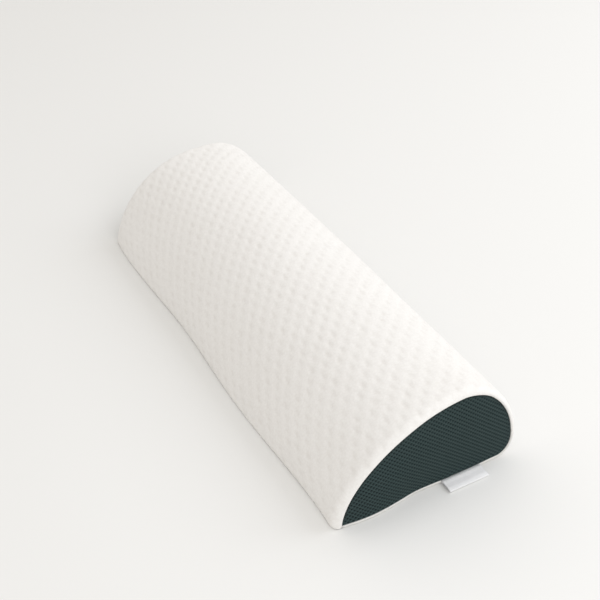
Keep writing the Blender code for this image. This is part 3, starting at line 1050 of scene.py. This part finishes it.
@dataclass
class WrappedSheet:
    """A sheet of cloth on the form, from a grid whose points know their place on the cloth.

    Its low and high corners are places along the cloth and round it.
    """

    name: str
    low: Pair
    high: Pair
    step: float

    def make(self) -> tuple[bpy.types.Object, np.ndarray]:
        """Build the flat grid.

        Returns:
            The object and each vertex's place along and round the cloth.
        """
        size = [b - a for a, b in zip(self.low, self.high)]
        faces = [max(2, round(side / self.step)) for side in size]
        bm = bmesh.new()
        bmesh.ops.create_grid(bm, x_segments=faces[0], y_segments=faces[1], size=0.5)
        sheet = mesh_from(bm, self.name)
        share = points_of(sheet.data)[:, :2] + 0.5
        return sheet, np.array(self.low) + share * np.array(size)


@dataclass
class Sewn:
    """What every sewn sub-assembly starts from: the outer form, the stuffed body, the finishes."""

    form: Form
    stuffed: StuffedBody
    wardrobe: Wardrobe


@dataclass
class QuiltPattern:
    """The jacquard's dimples: a slanted lattice of small pits in a softly padded face.

    The lattice's two steps are along and round the cloth. A dimple's spread is its half-length
    and half-width, turned by the slant. Swell is the height of the padding between dimples, and
    its three waves have these weights. The seed starts the small differences: how far a dimple
    strays, and how deep it is.
    """

    first: Pair = (7.9 * MM, -8.5 * MM)
    second: Pair = (7.2 * MM, 13.0 * MM)
    spread: Pair = (4.2 * MM, 2.2 * MM)
    slant: float = math.radians(-15)
    depth: float = 0.36 * MM
    swell: float = 0.11 * MM
    waves: Triple = (1.0, 0.9, 0.35)
    strays: float = 0.55 * MM
    weights: Pair = (0.45, 1.35)
    repeat: int = 97
    seed: int = 11

    def relief(self, flat: np.ndarray) -> tuple[np.ndarray, np.ndarray]:
        """The cloth's height over its mean face.

        Args:
            flat: Places along and round the cloth.

        Returns:
            The height, and how deep in a dimple each point is, from 0 to 1.
        """
        steps, cell, nodes = lattice(flat, self.first, self.second)
        differ = np.random.default_rng(self.seed)
        shifts = differ.normal(0.0, self.strays, (self.repeat, self.repeat, 2))
        weights = differ.uniform(*self.weights, (self.repeat, self.repeat))
        pit = np.zeros(len(flat))
        cos, sin = math.cos(self.slant), math.sin(self.slant)
        turn = np.array([[cos, -sin], [sin, cos]])
        for node in nodes:
            row, column = (node.astype(int) % self.repeat).T
            middle = node @ steps.T + shifts[row, column]
            off = (flat - middle) @ turn / self.spread
            pit += weights[row, column] * np.exp(-(off**2).sum(axis=1))
        one, two = 2 * math.pi * cell.T
        phases = (two, one - two, one - 2 * two)
        waves = sum(weight * np.cos(phase) for weight, phase in zip(self.waves, phases))
        return -self.depth * pit - self.swell * waves, np.clip(pit, 0.0, 1.0)


@dataclass
class Cover(Sewn):
    """The zipped cover: the quilted arch panel and the plain base panel.

    The opening for the zip has half its height and half its length here, and closes over its
    ease. The hem is how far the cloth goes down into the end seam.
    """

    thickness: float = 1.2 * MM
    seam_gap: float = 0.2 * MM
    window_half: float = 5.0 * MM
    window_reach: float = 212.0 * MM
    window_ease: float = 9.0 * MM
    hem: float = 1.2 * MM
    ripple: float = 0.22 * MM
    gather: float = 0.10 * MM
    gather_pitch: float = 3.1 * MM
    tuck: float = 0.9 * MM
    tuck_reach: float = 1.6 * MM
    quilt: QuiltPattern = field(default_factory=QuiltPattern)

    def _window(self, along: np.ndarray) -> np.ndarray:
        """How far the rear edges stand back from the zip's middle line."""
        closed = smooth_step((np.abs(along) - self.window_reach) / self.window_ease)
        return self.window_half + (self.seam_gap / 2 - self.window_half) * closed

    def _ripple(self, flat: np.ndarray) -> np.ndarray:
        """The slow, shallow unevenness of stretched cloth.

        Args:
            flat: Places on the cloth.

        Returns:
            How far each stands over the form.
        """
        x, s = flat.T
        waves = np.sin(x / (23 * MM) + 1.3 * np.sin(s / (41 * MM)))
        waves += np.sin(s / (17 * MM) + 0.9 * np.sin(x / (57 * MM)) + 2.0)
        waves += 0.7 * np.sin((x + 1.7 * s) / (31 * MM) + 0.6)
        return self.ripple * waves / 2

    def _pucker(self, flat: np.ndarray) -> np.ndarray:
        """The small gathers where the cloth is sewn to the end panels.

        Args:
            flat: Places on the cloth.

        Returns:
            How far each stands over the form.
        """
        from_seam = self.form.half_cloth - np.abs(flat[:, 0])
        close = np.exp(-((from_seam - 3 * MM) / (4.5 * MM)) ** 2)
        run = flat[:, 1] / self.gather_pitch
        return self.gather * close * np.sin(2 * math.pi * run + 1.1 * np.sin(run * 0.7))

    def _sheet(self, name: str, start: float, stop: float, step: float) -> tuple:
        """Cut a panel of the cover, flat.

        Args:
            name: Its name.
            start: Where it starts, round the section.
            stop: Where it stops.
            step: The size of its faces.

        Returns:
            The panel and its points' places on the cloth.
        """
        reach = self.form.half_cloth + self.form.hem_radius * math.pi / 2 + self.hem
        return WrappedSheet(name, (-reach, start), (reach, stop), step).make()

    def _lay(self, panel: bpy.types.Object, flat: np.ndarray, rise: np.ndarray, low: float) -> None:
        """Lay a panel on the stuffed form and give it its thickness.

        Args:
            panel: The flat panel.
            flat: Its points' places on the cloth.
            rise: How far each point stands over the form.
            low: The lowest that a point may lie.
        """
        places, outwards = self.form.wrap(flat[:, 0], flat[:, 1])
        raised = self.stuffed.settle(places) + outwards * rise[:, None]
        raised[:, 2] = np.maximum(raised[:, 2], low)
        move_points(panel.data, raised)
        lay_map(panel.data, flat)
        thicken(panel, self.thickness)

    def arch_panel(self) -> None:
        """The quilted panel from the front edge over the crest to the zip."""
        form = self.form
        panel, flat = self._sheet("quilted_arch", 0.0, form.zip_reach, 1.55 * MM)
        height, pit = self.quilt.relief(flat)
        edge = self._window(flat[:, 0])
        flat[:, 1] *= (form.zip_reach - edge) / form.zip_reach
        to_zip = form.zip_reach - edge - flat[:, 1]
        calm = smooth_step((form.half_cloth - np.abs(flat[:, 0]) - 1 * MM) / (6 * MM))
        calm *= smooth_step(to_zip / (6 * MM)) * smooth_step((flat[:, 1] - 1 * MM) / (5 * MM))
        rise = (height + self._ripple(flat)) * calm + self._pucker(flat)
        rise -= self.tuck * np.exp(-to_zip / self.tuck_reach)
        self._lay(panel, flat, rise, low=0.15 * MM)
        # The dimple mask, which the jacquard's colour darkens as painted shade in the dimples.
        lay_attribute(panel.data, "dimple", pit * calm)
        dress(panel, self.wardrobe.jacquard, "cover_top_panel")

    def base_panel(self) -> None:
        """The plain panel from the zip round the rear edge and under the cushion."""
        start, stop = self.form.zip_reach, self.form.reach[-1] - self.seam_gap
        panel, flat = self._sheet("plain_base", start, stop, 2.2 * MM)
        edge = self._window(flat[:, 0])
        flat[:, 1] += edge * (stop - flat[:, 1]) / (stop - start)
        to_zip = flat[:, 1] - start - edge
        rise = -self.tuck * np.exp(-to_zip / self.tuck_reach) + self._pucker(flat)
        self._lay(panel, flat, rise, low=0.0)
        dress(panel, self.wardrobe.base_knit, "cover_base_panel")


@dataclass
class EndPanel(Sewn):
    """A spacer-mesh panel in an end of the cover, with its real holes as deep pits.

    Its edge lies an inset inside the seam line and is tucked into the seam. The lattice of
    holes has two steps, across and up the panel, and hole is the half-size of one.
    """

    end: End
    step: float = 0.47 * MM
    inset: float = 0.85 * MM
    tuck: float = 1.9 * MM
    edge_radius: float = 2.6 * MM
    first: Pair = (2.29 * MM, 2.52 * MM)
    second: Pair = (-2.78 * MM, 2.49 * MM)
    hole: Pair = (1.12 * MM, 1.02 * MM)
    depth: float = 1.25 * MM
    wall: float = 1.4 * MM
    shaded_edge: float = 1.9 * MM

    def _outline(self) -> np.ndarray:
        """Draw the panel's edge, a little inside the seam line.

        Returns:
            Its points, as Y and Z.
        """
        edge = self.form.seam + self.form.inwards * self.inset
        edge[:, 1] = np.maximum(edge[:, 1], self.form.base_roll + self.inset * 0.5)
        return edge[np.concatenate([[True], lengths(np.diff(edge, axis=0)) > 1e-7])]

    def _inside(self, places: np.ndarray, outline: np.ndarray) -> np.ndarray:
        """Find which places lie inside the outline.

        Args:
            places: Places on the panel.
            outline: Its edge.

        Returns:
            True for each that does.
        """
        far = int(outline[:, 0].argmax())
        upper, lower = (part[np.argsort(part[:, 0])].T for part in (outline[: far + 1], outline[far:]))
        top = np.interp(places[:, 0], *upper, left=-1.0, right=-1.0)
        bottom = np.interp(places[:, 0], *lower, left=outline[:, 1].min())
        return (places[:, 1] < top) & (places[:, 1] > bottom)

    def _pits(self, places: np.ndarray) -> np.ndarray:
        """Find how deep in a hole each place is.

        Args:
            places: Places on the panel.

        Returns:
            The depth, from 0 to 1.
        """
        steps, _, nodes = lattice(places, self.first, self.second)
        offs = [(places - node @ steps.T) / self.hole for node in nodes]
        return np.max([np.exp(-((off**2).sum(axis=1) ** 1.4)) for off in offs], axis=0)

    def _cut(self, name: str, outline: np.ndarray) -> bmesh.types.BMesh:
        """Cut the panel's face, flat at X = 0, from a grid.

        Args:
            name: The panel's name.
            outline: Its edge.

        Returns:
            The face, whose boundary lies on the outline.
        """
        low, high = outline.min(axis=0) - self.step, outline.max(axis=0) + self.step
        sheet, flat = WrappedSheet(name, tuple(low), tuple(high), self.step).make()
        bm = bmesh.new()
        bm.from_mesh(sheet.data)
        bpy.data.objects.remove(sheet)
        put(bm.verts, np.column_stack([np.zeros(len(flat)), flat]))
        outer = [vert for vert, inner in zip(bm.verts, self._inside(flat, outline)) if not inner]
        bmesh.ops.delete(bm, geom=outer, context="VERTS")
        loose = [vert for vert in bm.verts if len(vert.link_faces) < 2]
        bmesh.ops.delete(bm, geom=loose, context="VERTS")
        for vert in [vert for vert in bm.verts if vert.is_boundary]:
            gap = np.hypot(outline[:, 0] - vert.co.y, outline[:, 1] - vert.co.z)
            vert.co.y, vert.co.z = outline[int(gap.argmin())]
        return bm

    def make(self) -> None:
        """Build the panel."""
        end = self.end.name.lower()
        outline = self._outline()
        bm = self._cut(f"mesh_panel_{end}", outline)
        places = np.array([vert.co[:] for vert in bm.verts])[:, 1:]
        parts = np.array_split(places, max(1, len(places) // 4000))
        depth_in = np.concatenate([gap_to(part, outline[::3]) for part in parts])
        pit = self._pits(places) * smooth_step((depth_in - 0.8 * MM) / (1.6 * MM))
        short = np.clip(self.edge_radius - depth_in, 0.0, None) / self.edge_radius
        round_off = self.tuck * (1 - np.sqrt(np.clip(1 - short**2, 0.0, 1.0)))
        face = self.form.length / 2 - 0.4 * MM
        skin = np.column_stack([np.full(len(places), face), places])
        skin[:, 0] *= self.end.value
        settled = self.stuffed.settle(skin)
        settled[:, 0] -= self.end.value * (round_off + self.depth * pit)
        # Painted shade along the panel's edge, above its lowest part, where it runs under the cover's
        # rim; it joins the painted shade of the holes in the pit mask.
        shade = np.exp(-((depth_in / self.shaded_edge) ** 2))
        pit = np.maximum(pit, 0.9 * shade * smooth_step((places[:, 1] - 4 * MM) / (9 * MM)))
        layer = bm.verts.layers.float.new("pit")
        for vert, place, value in zip(bm.verts, settled, pit):
            vert.co = place
            vert[layer] = value
        edges = [edge for edge in bm.edges if edge.is_boundary]
        back, ring = extrude(bm, edges)
        for vert in back:
            vert.co.x = self.end.value * (face - self.tuck - self.wall)
        bmesh.ops.edgeloop_fill(bm, edges=[edge for edge in ring if edge.is_boundary])
        bmesh.ops.recalc_face_normals(bm, faces=bm.faces)
        panel = mesh_from(bm, f"mesh_panel_{end}")
        lay_map(panel.data, points_of(panel.data)[:, 1:])
        dress(panel, self.wardrobe.spacer_mesh, f"end_panel_{end}")


@dataclass
class Liner(Sewn):
    """The thin inner sleeve between foam and cover: a tube and two end caps.

    It lies its depth under the outer form, and stands back further behind the zip.
    """

    depth: float = 2.3 * MM
    relief: float = 3.6 * MM
    thickness: float = 0.5 * MM
    step: float = 5.0 * MM

    def _place(self, flat: np.ndarray) -> np.ndarray:
        """Lay points of the sleeve under the cover.

        Args:
            flat: Places on the sleeve.

        Returns:
            Where they lie.
        """
        form = self.form
        places, outwards = form.wrap(flat[:, 0], flat[:, 1], self.depth, self.depth + 1.0 * MM)
        gap = np.abs(flat[:, 1] - form.zip_reach)
        back = self.relief * (1 - smooth_step((gap - 8 * MM) / (14 * MM)))
        settled = self.stuffed.settle(places) - outwards * back[:, None]
        settled[:, 2] = np.maximum(settled[:, 2], self.depth)
        return settled

    def make(self) -> None:
        """Build the tube and its two caps."""
        form = self.form
        end = form.length / 2 - form.arch_roll - 1.0 * MM
        around = form.reach[-1]
        tube, flat = WrappedSheet("sleeve_wrap", (-end, 0.0), (end, around), self.step).make()
        flat[:, 1] = np.clip(flat[:, 1], 3 * MM, around - 3 * MM)
        move_points(tube.data, self._place(flat))
        lay_map(tube.data, flat)
        thicken(tube, self.thickness)
        dress(tube, self.wardrobe.liner, "liner_wrap")
        caps = [self._cap(side) for side in End]

    def _cap(self, side: End) -> bpy.types.Object:
        """Build one end of the sleeve: a filled ring, rolled over the foam's edge.

        Args:
            side: Which end.

        Returns:
            The cap.
        """
        form = self.form
        count = 200
        reach = np.linspace(3 * MM, form.reach[-1] - 3 * MM, count)
        bm = bmesh.new()
        bmesh.ops.create_circle(bm, segments=count, radius=1.0)
        ring = list(bm.edges)
        verts = list(bm.verts)
        rolls = np.linspace(0.15, math.pi / 2, 6)
        for number, roll in enumerate(rolls):
            if number:
                verts, ring = extrude(bm, ring)
            along = form.length / 2 - form.arch_roll + form.arch_roll * roll
            flat = np.column_stack([np.full(count, side.value * along), reach])
            put(verts, self._place(flat))
        bmesh.ops.edgeloop_fill(bm, edges=ring)
        bmesh.ops.recalc_face_normals(bm, faces=bm.faces)
        outwards = sum(face.normal.x * face.calc_area() for face in bm.faces)
        if outwards * side.value < 0:
            bmesh.ops.reverse_faces(bm, faces=bm.faces)
        cap = mesh_from(bm, f"sleeve_cap_{side.name.lower()}")
        lay_map(cap.data, points_of(cap.data)[:, 1:])
        thicken(cap, self.thickness)
        dress(cap, self.wardrobe.liner, f"liner_end_{side.name.lower()}")
        return cap


# ---------------------------------------------------------------- seams


@dataclass
class Seams(Sewn):
    """The sewn seams, as rows of single stitches pulled down into the cloth."""

    pitch: float = 2.7 * MM
    stitch: float = 2.2 * MM
    thread: float = 0.5 * MM

    def sew(self, place: str, path: np.ndarray) -> None:
        """Lay stitches along a path, as one piece.

        Args:
            place: Where the seam is, as in its thread's name.
            path: The points of the seam.
        """
        run = run_along(path)
        count = max(2, int(run[-1] / self.pitch))
        bm = bmesh.new()
        for number in range(count):
            middle = (number + 0.5) * run[-1] / count
            reach = middle + np.array((-0.5, 0.5)) * self.stitch
            ends = [Vector(end) for end in read_at(reach, run, path)]
            turn = (ends[1] - ends[0]).to_track_quat("Z", "Y").to_matrix().to_4x4()
            size = Matrix.Diagonal((self.thread / 2, self.thread / 2, self.stitch / 2, 1.0))
            spot = Matrix.Translation((ends[0] + ends[1]) / 2) @ turn @ size
            bmesh.ops.create_uvsphere(bm, u_segments=8, v_segments=6, radius=1.0, matrix=spot)
        dress(mesh_from(bm, f"stitches_{place}"), self.wardrobe.thread, f"seam_thread_{place}")

    def make(self) -> None:
        """Sew every seam of the cover."""
        form = self.form
        loop = (form.seam + form.inwards * (form.hem_radius + 0.1 * MM))[::6]
        loop = loop[loop[:, 1] > 0]
        loop = np.concatenate([loop, loop[:1]])
        for side in End:
            depth = form.length / 2 - 1.7 * MM
            ring = np.column_stack([np.full(len(loop), side.value * depth), loop])
            self.sew(side.name.lower(), self.stuffed.settle(ring))
        end = form.length / 2 - form.arch_roll
        y = form.line[-1, 0] - 0.4 * MM
        along = np.linspace(-end, end, 200)
        front = np.column_stack([along, np.full(200, y), np.full(200, 0.45 * MM)])
        self.sew("front", form.relax(front))
        axes = form.zip_axes()
        for side in End:
            ends = [axes @ Vector((-side.value * u, 0.0, -1.5 * MM)) for u in (0.222, end)]
            self.sew(f"rear_{side.name.lower()}", np.array(ends))


# ---------------------------------------------------------------- zip


@dataclass
class Zip(Sewn):
    """The coil zip in the rear seam, with its slider and pull.

    Depths and heights are measured from the outer form or from the tapes' middle plane. The
    row gap is half the gap between the tapes, and a turn's head reaches its mesh depth over
    the zip's middle line.
    """

    tape_depth: float = 2.75 * MM
    tape_thickness: float = 0.5 * MM
    tape_width: float = 12.5 * MM
    tape_reach: float = 220.0 * MM
    row_gap: float = 0.40 * MM
    mesh_depth: float = 0.16 * MM
    coil_width: float = 2.8 * MM
    coil_base: float = 0.55 * MM
    coil_top: float = 2.25 * MM
    coil_reach: float = 200.0 * MM
    turn_pitch: float = 1.25 * MM
    wire: float = 0.62 * MM

    def tape(self, side: int, name: str) -> None:
        """A woven tape behind the cover's edge.

        Args:
            side: 1 above the zip and -1 below it.
            name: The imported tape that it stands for.
        """
        form = self.form
        ends = sorted(form.zip_reach - side * d for d in (self.row_gap, self.tape_width))
        low, high = (-self.tape_reach, ends[0]), (self.tape_reach, ends[1])
        tape, flat = WrappedSheet(f"{name}_woven", low, high, step=1.1 * MM).make()
        places, outwards = form.wrap(flat[:, 0], flat[:, 1])
        across = np.abs(flat[:, 1] - form.zip_reach)
        rib = 0.10 * MM * np.cos(2 * math.pi * across / (2.9 * MM))
        sink = self.tape_depth - self.tape_thickness / 2 - rib * (across > 3.4 * MM)
        move_points(tape.data, places - outwards * sink[:, None])
        lay_map(tape.data, flat)
        thicken(tape, self.tape_thickness)
        dress(tape, self.wardrobe.zip_tape, name)

    def coil(self, side: int, name: str) -> None:
        """One row of the coil: flattened turns of nylon wire, sewn to the tape's edge.

        Args:
            side: 1 above the zip and -1 below it.
            name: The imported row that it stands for.
        """
        axes = self.form.zip_axes() @ Matrix.Translation((0.0, 0.0, -self.tape_depth))
        near, far = -self.mesh_depth, self.row_gap + self.coil_width
        low, high = self.coil_base + self.wire / 2, self.coil_top - self.wire / 2
        middle, bulb = (low + high) / 2, (high - low) / 2
        path = []
        for turn in np.linspace(-math.pi / 2, math.pi / 2, 5):
            across = near + self.wire / 2 + bulb * (1 - math.cos(turn))
            path.append((0.0, across, middle + bulb * math.sin(turn)))
        for turn in np.linspace(math.pi / 2, 3 * math.pi / 2, 5):
            across = far - self.wire / 2 - bulb * (1 + math.cos(turn))
            path.append((turn / math.pi / 2 - 0.25, across, middle + bulb * math.sin(turn)))
        path.append((1.0, *path[0][1:]))
        spots = [Vector((u * self.turn_pitch, side * v, w)) for u, v, w in path]
        bm = bmesh.new()
        verts = bmesh.ops.create_circle(bm, segments=6, radius=self.wire / 2)["verts"]
        edges = list({edge for vert in verts for edge in vert.link_edges})
        shape = [vert.co.copy() for vert in verts]
        for number, spot in enumerate(spots):
            if number:
                verts, edges = extrude(bm, edges)
            ahead = spots[min(number + 1, len(spots) - 1)] - spots[max(number - 1, 0)]
            turn = ahead.to_track_quat("Z", "X").to_matrix()
            put(verts, [spot + turn @ offset for offset in shape])
        start = -self.coil_reach - self.turn_pitch * (0.75 - 0.25 * side)
        bmesh.ops.translate(bm, verts=bm.verts, vec=(start, 0.0, 0.0))
        one = list(bm.verts) + list(bm.edges) + list(bm.faces)
        for number in range(1, int(2 * self.coil_reach / self.turn_pitch)):
            copy = bmesh.ops.duplicate(bm, geom=one)["geom"]
            moved = [item for item in copy if isinstance(item, bmesh.types.BMVert)]
            bmesh.ops.translate(bm, verts=moved, vec=(number * self.turn_pitch, 0.0, 0.0))
        bmesh.ops.remove_doubles(bm, verts=bm.verts, dist=0.02 * MM)
        bmesh.ops.holes_fill(bm, edges=[e for e in bm.edges if e.is_boundary])
        bmesh.ops.transform(bm, matrix=axes, verts=bm.verts)
        bmesh.ops.recalc_face_normals(bm, faces=bm.faces)
        dress(mesh_from(bm, f"{name}_turns"), self.wardrobe.nylon, name)

    def cast(self, name: str, edge: float, body: str = "root") -> None:
        """Copy a packed metal piece and round its edges.

        Args:
            name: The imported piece.
            edge: The radius of its edges.
            body: The body it moves with.
        """
        bm = bmesh.new()
        bm.from_mesh(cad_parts[name].data)
        bmesh.ops.remove_doubles(bm, verts=bm.verts, dist=0.005 * MM)
        flat = math.radians(2)
        bmesh.ops.dissolve_limit(
            bm, angle_limit=flat, verts=bm.verts, edges=bm.edges, delimit=set()
        )
        piece = mesh_from(bm, f"{name}_cast")
        piece.data.set_sharp_from_angle(angle=math.radians(40))
        bevel = piece.modifiers.new("edges", "BEVEL")
        bevel.width, bevel.segments = edge, 2
        bevel.limit_method, bevel.angle_limit = "ANGLE", math.radians(35)
        dress(piece, self.wardrobe.metal, name, body)

    def make(self) -> None:
        """Build the tapes, coils, stops, slider and pull."""
        for side, place in ((1, "upper"), (-1, "lower")):
            self.tape(side, f"zip_tape_{place}")
            self.coil(side, f"zip_coil_{place}")
        for name in ("zip_top_stop_upper", "zip_top_stop_lower", "zip_bottom_stop"):
            self.cast(name, 0.25 * MM)
        self.cast("zip_slider", 0.14 * MM, "slider")
        self.cast("zip_pull", 0.18 * MM, "pull")


# ---------------------------------------------------------------- labels


@dataclass
class Label:
    """A blank woven label, sewn into a seam.

    The path is its section, from the seam outwards, and back for a folded label. Across is
    where it starts and ends along the seam, which may run along X. Held is not used, and curl
    is how far its free corners lift.
    """

    form: Form
    wardrobe: Wardrobe
    name: str
    path: list[Pair]
    across: Pair
    along_x: bool
    held: str
    ply: float = 0.28 * MM
    curl: float = 0.4 * MM

    def make(self) -> None:
        """Build the label."""
        path = np.array(self.path)
        run = run_along(path)
        low, high = (self.across[0], 0.0), (self.across[1], run[-1])
        label, flat = WrappedSheet(f"{self.name}_satin", low, high, step=0.8 * MM).make()
        spot = read_at(flat[:, 1], run, path)
        share = (flat[:, 0] - low[0]) / (high[0] - low[0])
        out = np.abs(spot[:, 0] - path[0, 0]) + np.abs(spot[:, 1] - path[0, 1])
        out /= max(out.max(), 1e-9)
        lift = self.curl * out * (np.sin(share * math.pi * 1.6 + 0.5) * 0.5 + 0.5 * share)
        if self.along_x:
            places = np.column_stack([flat[:, 0], spot[:, 0] + lift, spot[:, 1]])
        else:
            places = np.column_stack([spot[:, 0], flat[:, 0], spot[:, 1] + lift])
        move_points(label.data, self.form.relax(places))
        lay_map(label.data, flat)
        bm = bmesh.new()
        bm.from_mesh(label.data)
        bmesh.ops.recalc_face_normals(bm, faces=bm.faces)
        bm.to_mesh(label.data)
        bm.free()
        thicken(label, self.ply, offset=0.0)
        dress(label, self.wardrobe.satin, self.name)


def brand_label(form: Form, wardrobe: Wardrobe) -> Label:
    """The blank folded label in the near end's base seam: out to its fold, and back below.

    Args:
        form: The outer form.
        wardrobe: The finishes.

    Returns:
        The label, ready to make.
    """
    low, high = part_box("brand_label")
    start = form.length / 2 - 0.9 * MM
    reach = high.x - form.length / 2
    top = form.base_roll + 1.4 * MM
    upper = [(-0.02, top), (0.18, top + 0.9 * MM), (0.45, top + 0.4 * MM), (0.75, 2.6 * MM)]
    fold = [(0.93, 2.0 * MM), (0.985, 1.75 * MM), (1.0, 1.3 * MM), (0.985, 0.85 * MM)]
    lower = [(0.93, 0.65 * MM), (0.6, 0.5 * MM), (0.25, 0.8 * MM), (0.0, top - 1.1 * MM)]
    path = [(start + share * (reach + 0.9 * MM), z) for share, z in upper + fold + lower]
    return Label(form, wardrobe, "brand_label", path, (low.y, high.y), False, "folded")


def care_label(form: Form, wardrobe: Wardrobe) -> Label:
    """The blank care label in the rear seam beside the zip, hanging down the rear wall.

    Args:
        form: The outer form.
        wardrobe: The finishes.

    Returns:
        The label, ready to make.
    """
    low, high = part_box("care_label")
    wall = high.y - 0.4 * MM
    root = form.zip_axes() @ Vector((0.0, 0.0, -0.8 * MM))
    path = [
        (root.y, root.z),
        (wall - 0.3 * MM, root.z - 0.2 * MM),
        (wall, root.z - 1.4 * MM),
        (wall + 0.1 * MM, (root.z + low.z) / 2),
        (wall, low.z),
    ]
    return Label(form, wardrobe, "care_label", path, (low.x, high.x), True, "hung", 0.28 * MM, 0.5 * MM)


# ---------------------------------------------------------------- studio


@dataclass
class Studio:
    """The floor, the light and the camera.

    The camera has its eye, the way it looks and its focal length in millimetres, and fill is
    the light from all round. The floor drops a little under the base, so that no two faces
    coincide.
    """

    eye: Triple = (0.7324, -0.4055, 0.7001)
    gaze: Triple = (-0.6833, 0.3909, -0.6167)
    lens: float = 59.1
    fill: float = 0.80
    drop: float = 0.2 * MM

    def floor(self) -> None:
        """A wide pale floor."""
        bm = bmesh.new()
        bmesh.ops.create_grid(bm, x_segments=1, y_segments=1, size=15.0)
        bmesh.ops.translate(bm, verts=bm.verts, vec=(0.0, 0.0, -self.drop))
        floor = mesh_from(bm, "studio_floor", smooth=False)
        finish = Finish("pale_floor", roughness=0.5)
        finish.set("Base Color", (0.825, 0.82, 0.80, 1.0))
        finish.set("Specular IOR Level", 0.2)
        floor.data.materials.append(finish.material)

    def light(self, name: str, place: Triple, aim: Triple, size: float, power: float) -> None:
        """A square soft light.

        Args:
            name: The light's name.
            place: Where it hangs.
            aim: What it points at.
            size: The length of its side.
            power: Its power, in watts.
        """
        lamp = bpy.data.lights.new(name, "AREA")
        lamp.shape = "SQUARE"
        lamp.size = size
        lamp.energy = power
        lamp.color = (0.95, 0.99, 1.05)
        self._stand(name, lamp, place, Vector(aim) - Vector(place))

    def _stand(self, name: str, data: bpy.types.ID, place: Triple, gaze: Vector) -> bpy.types.Object:
        """Put a light or camera in its place.

        Args:
            name: Its name.
            data: The light or camera.
            place: Where it stands.
            gaze: The way it looks.

        Returns:
            The object.
        """
        obj = link(bpy.data.objects.new(name, data))
        obj.location = place
        obj.rotation_euler = gaze.to_track_quat("-Z", "Y").to_euler()
        return obj

    def camera(self) -> None:
        """The camera, at the cushion's near end, looking down along it."""
        data = bpy.data.cameras.new("camera")
        data.lens = self.lens
        data.sensor_width = 36.0
        data.clip_start = 0.01
        camera = self._stand("camera", data, self.eye, Vector(self.gaze))
        bpy.context.scene.camera = camera

    def make(self) -> None:
        """Set up the studio."""
        self.floor()
        world = bpy.data.worlds.new("studio")
        world.use_nodes = True
        background = world.node_tree.nodes["Background"]
        background.inputs["Color"].default_value = (1.0, 0.975, 0.945, 1.0)
        background.inputs["Strength"].default_value = self.fill
        bpy.context.scene.world = world
        bpy.context.scene.view_settings.view_transform = "Standard"
        self.light("key", (0.35, 1.9, 1.7), (0.1, 0.1, 0.0), size=1.6, power=23.0)
        self.light("front", (1.7, -0.1, 1.1), (0.2, 0.0, 0.0), size=1.2, power=8.6)
        self.camera()


def main() -> None:
    """Build the cushion, from its stuffed body outwards, and the studio round it."""
    logging.basicConfig(level=logging.INFO, format="%(name)s: %(message)s")
    top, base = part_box("cover_top_panel"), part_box("cover_base_panel")
    form = Form(
        length=top[1].x - top[0].x,
        width=2 * base[1].y + 0.01 * MM,
        height=top[1].z,
    )
    wardrobe = Wardrobe()
    stuffed = StuffedBody(form)
    sewn = (form, stuffed, wardrobe)
    cover = Cover(*sewn)
    cover.arch_panel()
    cover.base_panel()
    for end in End:
        EndPanel(*sewn, end).make()
    for part in (Liner, Seams, Zip):
        part(*sewn).make()
    for label in (brand_label, care_label):
        label(form, wardrobe).make()
    stuffed.foam(wardrobe)
    Studio().make()


if __name__ == "__main__":
    main()
